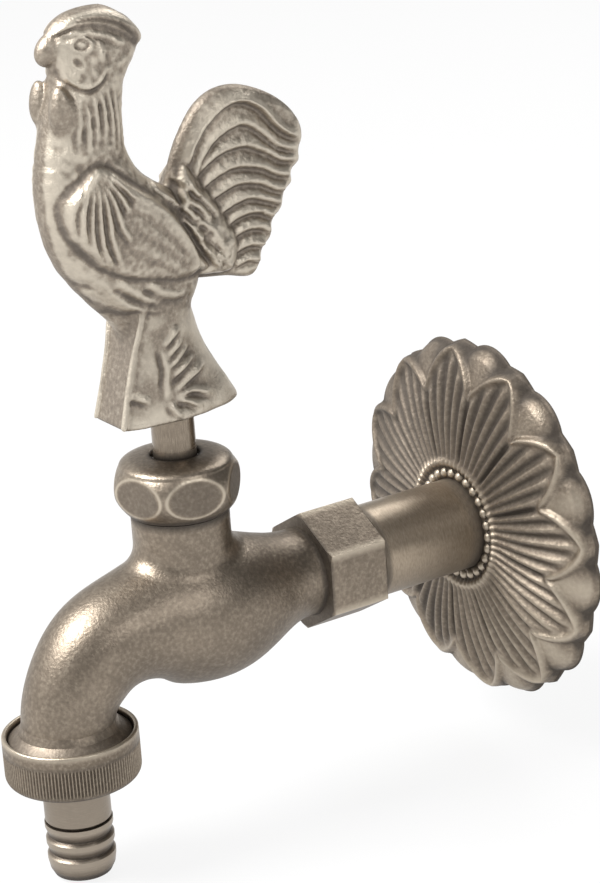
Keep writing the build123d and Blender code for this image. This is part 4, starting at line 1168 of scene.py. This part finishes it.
@dataclass
class WallRose:
    """Flower-shaped rose: twelve pointed petals over twelve round ones, fluted towards a beaded collar."""

    radius: float = 45.4
    height: float = 9.3
    rim: float = 0.9
    bore: float = 11.46
    collar: float = 13.1
    collar_top: float = 9.2
    collar_foot: float = 5.0
    sheet: float = 2.0
    petals: int = 12
    turn: float = 6.0
    flutes: int = 5
    beads: int = 27
    tip: float = 45.3
    drop: float = 10.4
    hub: float = 15.7
    bead_radius: float = 1.4
    bead_ring: float = 12.9
    around: int = 648
    across: int = 96
    back_across: int = 14

    def petal(self, angle: np.ndarray, turn: float) -> np.ndarray:
        """How far across its petal an angle lies, from 0 on the middle to 1 at the side."""
        share = (angle - np.radians(turn)) * self.petals / (2 * np.pi)
        return np.abs(share - np.round(share)) * 2

    def rows(self, angle: np.ndarray) -> tuple:
        """Places across the petals of the front row and of the back row, half a petal further round."""
        return self.petal(angle, self.turn), self.petal(angle, self.turn + 180 / self.petals)

    def dome(self, radius: np.ndarray) -> np.ndarray:
        """Height of the plain dome: an ellipse's quadrant that stands on the rim."""
        return self.rim + (self.height - self.rim) * np.sqrt(np.maximum(0, 1 - (radius / self.radius) ** 2))

    def top(self, radius: np.ndarray, angle: np.ndarray) -> tuple:
        """Upper face: the plain dome, plus petals that stand over it.

        A front petal ends where its radius passes tip - drop (s + s^2) / 2, s being the place
        across it. Flutes are cosines of the angle that grow outwards, and a bell curve along the
        petal's edge lifts its lip.

        Args:
            radius: distances from the rose's axis.
            angle: angles round it.

        Returns:
            The height and the wear of each place.
        """
        s, s_back = self.rows(angle)
        inside = self.tip - self.drop * (s + s ** 2) / 2 - radius
        front = ease(-0.5, 0.35, inside)
        grow = ease(14.0, 34.0, radius)
        flute = np.cos(s * np.pi * self.flutes)
        lip = bell(inside, 1.4, 1.3)
        seam = bell((1 - s) * radius * np.pi / self.petals, 0, 0.55) * ease(14.0, 20.0, radius)
        cup = 0.7 * bell(s, 0, 0.55) * ease(24.0, 38.0, radius)
        raised = 0.9 + 0.75 * lip - 0.55 * seam - cup * ease(0.5, 4.0, inside)
        raised += 0.42 * flute * (0.55 + grow) * ease(2.0, 7.0, inside)
        lobe = 0.9 * np.sqrt(1 - np.minimum(1, s_back / 0.62) ** 2) - 0.35
        worn = 0.8 * lip - 0.5 * seam
        worn += (0.55 * flute - 0.1) * (0.4 + 0.6 * grow) * ease(1.0, 6.0, inside)
        hollow = 1.5 * np.maximum(0, 1 - (s_back / 0.55) ** 2) - 0.9
        level = self.dome(radius) + raised * front + lobe * (1 - front)
        return level, worn * front + hollow * (1 - front)

    def outline(self, angle: np.ndarray) -> np.ndarray:
        """Radius of the rim: a scallop for every petal of both rows."""
        s, s_back = self.rows(angle)
        return np.maximum(self.radius - 0.6 - 2.6 * s, self.radius - 0.1 - 5.2 * s_back ** 2)

    def build(self) -> bpy.types.Object:
        """Makes the shell as one closed sheet: collar, top face out to the rim, then back underneath.

        Returns:
            The shell.
        """
        angle = full_turn(self.around)
        rim = self.outline(angle)
        u = np.linspace(0, 1, self.across)[None, :]
        radius = self.collar + (rim - 0.42 - self.collar) * (1 - (1 - u) ** 1.15) ** 0.9
        level, tone = self.top(radius, angle)
        hub = bell(radius, self.hub, 0.9)
        level = level + 0.5 * hub - 0.5 * ease(14.9, 14.2, radius)
        curl = 0.8 + 1.6 * ease(0.2, 0.6, self.petal(angle, self.turn))
        level = 0.5 + (level - 0.5) * rounded(rim - 0.4 - radius, curl)
        tone = tone * ease(15.0, 17.0, radius) + 0.9 * hub - 0.9 * ease(14.9, 14.3, radius)
        # Painted light: one side of the rose is painted paler and the other darker, as lit from one side,
        # and the last millimetre before the rim is painted darker.
        lit = radius / self.radius * (0.75 * np.cos(angle) - 0.55 * np.sin(angle))
        tone = tone + 0.7 * lit - 0.35 - 0.8 * ease(1.2, 0.5, rim - radius)
        v = np.linspace(0, 1, self.back_across)[None, :]
        under = rim - 1.8 + (self.collar + 0.4 - rim + 1.8) * v
        under_z = np.maximum((self.dome(under) - self.sheet) * ease(0.0, 0.06, v), 0) + 0.02
        section = (
            (self.bore, self.collar_foot), (self.bore, self.collar_top), (self.collar - 0.3, self.collar_top),
            (self.collar, self.collar_top - 0.3), (radius, level),
            (rim - 0.12, np.maximum(level[:, -1:] - 0.12, 0.45)), (rim, 0.4), (rim, 0.3), (rim - 0.3, 0.02),
            (under, under_z), (self.collar, self.collar_foot), (self.bore + 0.2, self.collar_foot),
        )
        r, h = (beside(angle, *values) for values in zip(*section))
        tones = np.full(r.shape, -0.8)
        tones[:, :4] = -0.2
        tones[:, 4:4 + self.across] = tone
        faces = ring_quads(*r.shape)[:, ::-1]
        shell = put_mesh("rose_shell", to_wall(swept(r, h, angle)), faces, np.clip(tones, -1, 1).ravel())
        dress(shell, Finish.ROSE)
        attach(shell, "wall_rose")
        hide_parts("wall_rose")
        self.bead_mesh()
        return shell

    def bead_mesh(self) -> bpy.types.Object:
        """Beads in a ring, half sunk in the collar: one ball of two poles and level rings, repeated.

        Returns:
            All the beads as one object.
        """
        rings, columns = 6, 12
        lat = np.linspace(0, np.pi, rings + 2)[1:-1, None]
        ball = np.vstack([swept(np.sin(lat), np.cos(lat), full_turn(columns).T), [[0, 0, 1], [0, 0, -1]]])
        centre = swept(self.bead_ring, self.height - 0.6, full_turn(self.beads))
        points = (centre[:, None] + ball[None] * self.bead_radius).reshape(-1, 3)
        i, j = np.meshgrid(np.arange(rings - 1), np.arange(columns), indexing="ij")
        here, there = i * columns + j, i * columns + (j + 1) % columns
        first, last = here[0], here[-1] + columns
        north, south = np.full(columns, rings * columns), np.full(columns, rings * columns + 1)
        one = np.vstack([
            np.stack([here, here + columns, there + columns], -1).reshape(-1, 3),
            np.stack([here, there + columns, there], -1).reshape(-1, 3),
            np.stack([north, first, there[0]], -1),
            np.stack([south, there[-1] + columns, last], -1),
        ])
        faces = (one[None] + (np.arange(self.beads) * len(ball))[:, None, None]).reshape(-1, 3)
        tone = np.tile(ball[:, 2] * 0.9 + 0.1, self.beads)
        beads = put_mesh("rose_beads", to_wall(points), faces, tone)
        dress(beads, Finish.ROSE)
        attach(beads, "wall_rose")
        return beads


# Bonnet nut


@dataclass
class BonnetNut:
    """Barrel-shaped nut whose six flats show as ovals, with painted shade inside them and a painted highlight
    on their rims.
    """

    axis_y: float = -86.44
    bottom: float = 24.8
    top: float = 38.3
    crown: float = 2.3
    flat: float = 13.48
    barrel: float = 14.98
    shoulder: float = 13.13
    foot: float = 11.78
    bore: float = 10.08
    hole: float = 5.84
    gland: float = 8.2
    flange_top: float = 32.3
    web: float = 1.7
    corner: float = 16.5
    around: int = 720

    def section(self) -> np.ndarray:
        """Closed section, anticlockwise: barrel side, crowned top, hole and bore.

        Returns:
            (n, 2) radius and height.
        """
        t = np.linspace(0, 1, 40)
        side_top = self.top - self.crown
        rise = self.bottom + (side_top - self.bottom) * t
        ends = self.foot + (self.shoulder - self.foot) * t
        bulge = (self.barrel - (self.foot + self.shoulder) / 2) * (1 - (2 * t - 1) ** 2)
        side = np.stack([ends + bulge, rise], 1)
        turn = np.linspace(0, np.pi / 2, 14)[1:]
        crown_radius = self.hole + (self.shoulder - self.hole) * np.cos(turn)
        crown = np.stack([crown_radius, side_top + self.crown * np.sin(turn)], 1)
        inner = np.array([
            (self.hole, self.top - self.web), (self.gland, self.top - self.web),
            (self.gland, self.flange_top), (self.bore, self.flange_top),
            (self.bore, self.bottom), (self.foot - 0.4, self.bottom),
        ])
        return np.vstack([side, crown, inner])

    def build(self) -> bpy.types.Object:
        """Makes the nut: its radius is the lesser of the barrel's and the hexagon's, flat / cos(angle).

        Returns:
            The nut.
        """
        section = self.section()
        angle = full_turn(self.around)
        off = (angle - np.radians(self.corner)) % (np.pi / 3) - np.pi / 6
        prism = self.flat / np.cos(off)
        barrel, height = section.T[:, None, :]
        gap = barrel - prism
        radius = np.minimum(barrel, prism) - 0.12 * bell(gap, 0, 0.16)
        points = swept(radius, height, angle) + np.array([0, self.axis_y, 0])
        # Painted light: shade inside the flats' ovals, a highlight along their rims, and shade at the nut's
        # foot
        # and round its hole, where it meets the body and the stem.
        tone = np.where(gap > 0, -0.45 * ease(0.0, 0.5, gap), 0.15) + 1.1 * bell(gap, -0.1, 0.22)
        tone = np.where(barrel > self.gland + 2.2, tone, -0.1)
        tone = tone - 0.5 * ease(self.bottom + 1.6, self.bottom, height)
        tone = tone - 0.8 * ease(self.hole + 1.2, self.hole + 0.2, barrel)
        faces = ring_quads(self.around, len(section))
        nut = put_mesh("bonnet_nut_shell", points, faces, np.clip(tone, -1, 1).ravel())
        dress(nut, Finish.NUT)
        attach(nut, "tap")
        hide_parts("bonnet_nut")
        return nut


# Union nut


@dataclass
class UnionNut:
    """Swivel nut with a smooth rim, a finely knurled skirt and an open mouth round the spout's collar."""

    axis_y: float = -120.2
    bottom: float = -32.0
    top: float = -20.4
    radius: float = 15.75
    mouth: float = 14.6
    mouth_floor: float = -23.2
    bore: float = 13.18
    face: float = -30.4
    hole: float = 8.03
    ridges: int = 124
    ridge_low: float = -30.6
    ridge_high: float = -24.0
    ridge_depth: float = 0.36
    shoulder: float = 2.2
    skirt_top: float = 1.3
    around: int = 1240

    def section(self) -> np.ndarray:
        """Closed section, anticlockwise, with round shoulders and close points on the skirt.

        Returns:
            (n, 2) radius and height.
        """
        skirt_z = np.linspace(self.bottom + self.shoulder, self.top - self.skirt_top, 24)
        skirt = np.stack([np.full(len(skirt_z), self.radius), skirt_z], 1)
        turn = np.linspace(-np.pi / 2, 0, 8)[:-1, None]
        low = (self.radius, self.bottom) + self.shoulder * np.hstack([np.cos(turn) - 1, np.sin(turn) + 1])
        rise = np.linspace(0, np.pi, 11)[1:]
        wall = (self.radius - self.mouth) / 2
        rim = np.stack([self.radius - wall + wall * np.cos(rise), self.top - wall + wall * np.sin(rise)], 1)
        inner = np.array([
            (self.mouth, self.top - self.skirt_top), (self.mouth, self.mouth_floor),
            (self.bore, self.mouth_floor), (self.bore, self.face), (self.hole, self.face),
            (self.hole, self.bottom), (self.hole + 0.6, self.bottom),
        ])
        return np.vstack([low, skirt, rim, inner])

    def build(self) -> bpy.types.Object:
        """Makes the nut. Between two heights its skirt is cut by depth * (0.5 - 0.5 cos(ridges * angle))^1.4.

        Returns:
            The nut.
        """
        section = self.section()
        angle = full_turn(self.around)
        radius, height = section.T[:, None, :]
        outer = radius > self.mouth
        band = ease(self.ridge_low - 0.5, self.ridge_low + 0.5, height) * outer
        band = band * ease(self.ridge_high + 0.35, self.ridge_high - 0.35, height)
        cut = band * self.ridge_depth * (0.5 - 0.5 * np.cos(self.ridges * angle)) ** 1.4
        points = swept(radius - cut, height, angle) + np.array([0, self.axis_y, 0])
        tone = 0.35 * band - 2.6 * cut + 0.9 * bell(height, self.top - 0.3, 0.8) * outer - 1.0 * ~outer
        tone = tone - 0.4 * bell(height, self.ridge_high + 0.5, 0.4) - 0.7 * ease(-31.0, -31.9, height)
        faces = ring_quads(self.around, len(section))
        nut = put_mesh("union_nut", points, faces, np.clip(tone, -1, 1).ravel())
        dress(nut, Finish.UNION)
        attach(nut, "union_nut")
        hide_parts("hose_union_nut")
        return nut


# Frame pieces


@dataclass
class Fittings:
    """Pieces that keep their CAD shape."""

    finishes: dict = field(default_factory=lambda: {
        "inlet_extension": Finish.SLEEVE, "extension_washer": Finish.FIBRE, "tap_body": Finish.CAST,
        "headwork_bush": Finish.BRIGHT, "headwork_gasket": Finish.FIBRE, "gland_washer": Finish.BRIGHT,
        "gland_packing": Finish.PACKING, "bonnet_nut": Finish.NUT, "spindle": Finish.STEM,
        "jumper_valve": Finish.BRIGHT, "seat_washer": Finish.RUBBER, "washer_nut": Finish.BRIGHT,
        "handle_screw": Finish.STEEL, "hose_union_nut": Finish.UNION, "hose_washer": Finish.RUBBER,
        "hose_tail": Finish.TAIL, "rooster_handle": Finish.CAST, "wall_rose": Finish.CAST,
    })

    def build(self) -> None:
        """Gives every CAD node its finish."""
        for node, finish in self.finishes.items():
            dress(frame["nodes"][node], finish)


# Room


@dataclass
class Studio:
    """Camera, pale floor and soft lamps."""

    camera: tuple = (0.545282, -0.39775, 0.260708)
    azimuth: float = 57.672
    elevation: float = 19.489
    roll: float = -4.05
    focal: float = 2927.3
    image_height: float = 883.0
    floor: float = -0.0566
    floor_reach: float = 40.0
    bright_way: tuple = (-0.6, -0.62, 0.5)

    def axes(self) -> tuple:
        """Directions of the camera, which looks along the last one turned round.

        Returns:
            Its right, up and back directions.
        """
        az, el, roll = np.radians([self.azimuth, self.elevation, self.roll])
        back = np.array([np.sin(az) * np.cos(el), -np.cos(az) * np.cos(el), np.sin(el)])
        right = np.array([np.cos(az), np.sin(az), 0])
        up = np.cross(back, right)
        return (np.cos(roll) * right + np.sin(roll) * up, np.cos(roll) * up - np.sin(roll) * right, back)

    def build(self) -> None:
        """Makes the camera, floor, lamps and world."""
        right, up, back = self.axes()
        data = bpy.data.cameras.new("camera")
        data.sensor_fit = "VERTICAL"
        data.sensor_height = 24.0
        data.lens = self.focal / self.image_height * data.sensor_height
        data.clip_start = 0.01
        eye = bpy.data.objects.new("camera", data)
        turn = Matrix((right, up, back)).transposed().to_4x4()
        eye.matrix_world = Matrix.Translation(self.camera) @ turn
        bpy.context.scene.collection.objects.link(eye)
        bpy.context.scene.camera = eye
        self.lamp("key", (-0.7, 0.65, 0.4), 0.55, 16.0)
        self.lamp("fill", (0.5, 0.35, 0.9), 0.6, 3.0)
        self.lamp("back", (0.3, 0.95, -0.4), 0.5, 3.0)
        self.ground()
        self.sky()
        bpy.context.scene.view_settings.view_transform = "Standard"

    def lamp(self, name: str, way: tuple, size: float, power: float) -> None:
        """Square soft lamp, which looks at the object.

        Args:
            name: the lamp's name.
            way: where it stands, right, up and back from the object, in metres.
            size: length of its sides, in metres.
            power: its power in watts.
        """
        target = np.array([0, -0.06, 0.04])
        place = target + sum(w * a for w, a in zip(way, self.axes()))
        data = bpy.data.lights.new(name, "AREA")
        data.size = size
        data.energy = power
        lamp = bpy.data.objects.new(name, data)
        turn = Vector(place - target).to_track_quat("Z", "Y").to_matrix().to_4x4()
        lamp.matrix_world = Matrix.Translation(place) @ turn
        bpy.context.scene.collection.objects.link(lamp)

    def ground(self) -> None:
        """Floor that looks white to the camera and in the brass, and keeps the object's shadow."""
        corners = self.floor_reach / MM * np.array([[-1, -1], [1, -1], [1, 1], [-1, 1]])
        points = np.hstack([corners, np.full((4, 1), self.floor / MM)])
        floor = put_mesh("floor", points, np.array([[0, 1, 2, 3]]))
        p = Paint("white floor")
        rays = [p.node("LightPath", out=f"Is {kind} Ray") for kind in ("Camera", "Glossy", "Transmission")]
        seen = (rays[0] + rays[1] + rays[2]).clamp()
        cloth = p.node("BsdfDiffuse", sockets={"Color": (0.82, 0.82, 0.82, 1)})
        white = p.node("Emission", sockets={"Color": (1, 1, 1, 1), "Strength": 1.0})
        both = p.node("MixShader", sockets={0: seen * 0.87, 1: cloth, 2: white})
        floor.data.materials.append(p.finish(both))

    def sky(self) -> None:
        """Grey room, lighter overhead and towards the key lamp, with a white backdrop low all round."""
        world = bpy.data.worlds.new("room")
        bpy.context.scene.world = world
        world.use_nodes = True
        room = Graph(world.node_tree)
        way = room.node("TexCoord", out="Generated")
        sockets = {0: way, 1: self.bright_way}
        side = room.node("VectorMath", {"operation": "DOT_PRODUCT"}, sockets, out="Value")
        stops = ((0.0, (0.1, 0.1, 0.1)), (0.85, (0.8, 0.8, 0.8)))
        grey = room.node("ValToRGB", {"stops": stops}, {0: side})
        backdrop = room.mix(room.split(way)["z"].over(0.16, 0.07), grey, (1.0, 1.0, 1.0))
        light = room.node("Background", sockets={"Color": backdrop, "Strength": 1.0})
        room.node("OutputWorld", sockets={"Surface": light})


def main() -> None:
    """Builds every sub-assembly in order and reports each."""
    logging.basicConfig(level=logging.INFO, format="%(message)s")
    for part in (Fittings(), Cockerel(), BonnetNut(), WallRose(), UnionNut(), Studio()):
        part.build()
        log.info("made %s", type(part).__name__)
    for thing in bpy.context.scene.objects:
        if thing.type == "MESH":
            log.info("%s: %d faces", thing.name, len(thing.data.polygons))


if __name__ == "__main__":
    main()
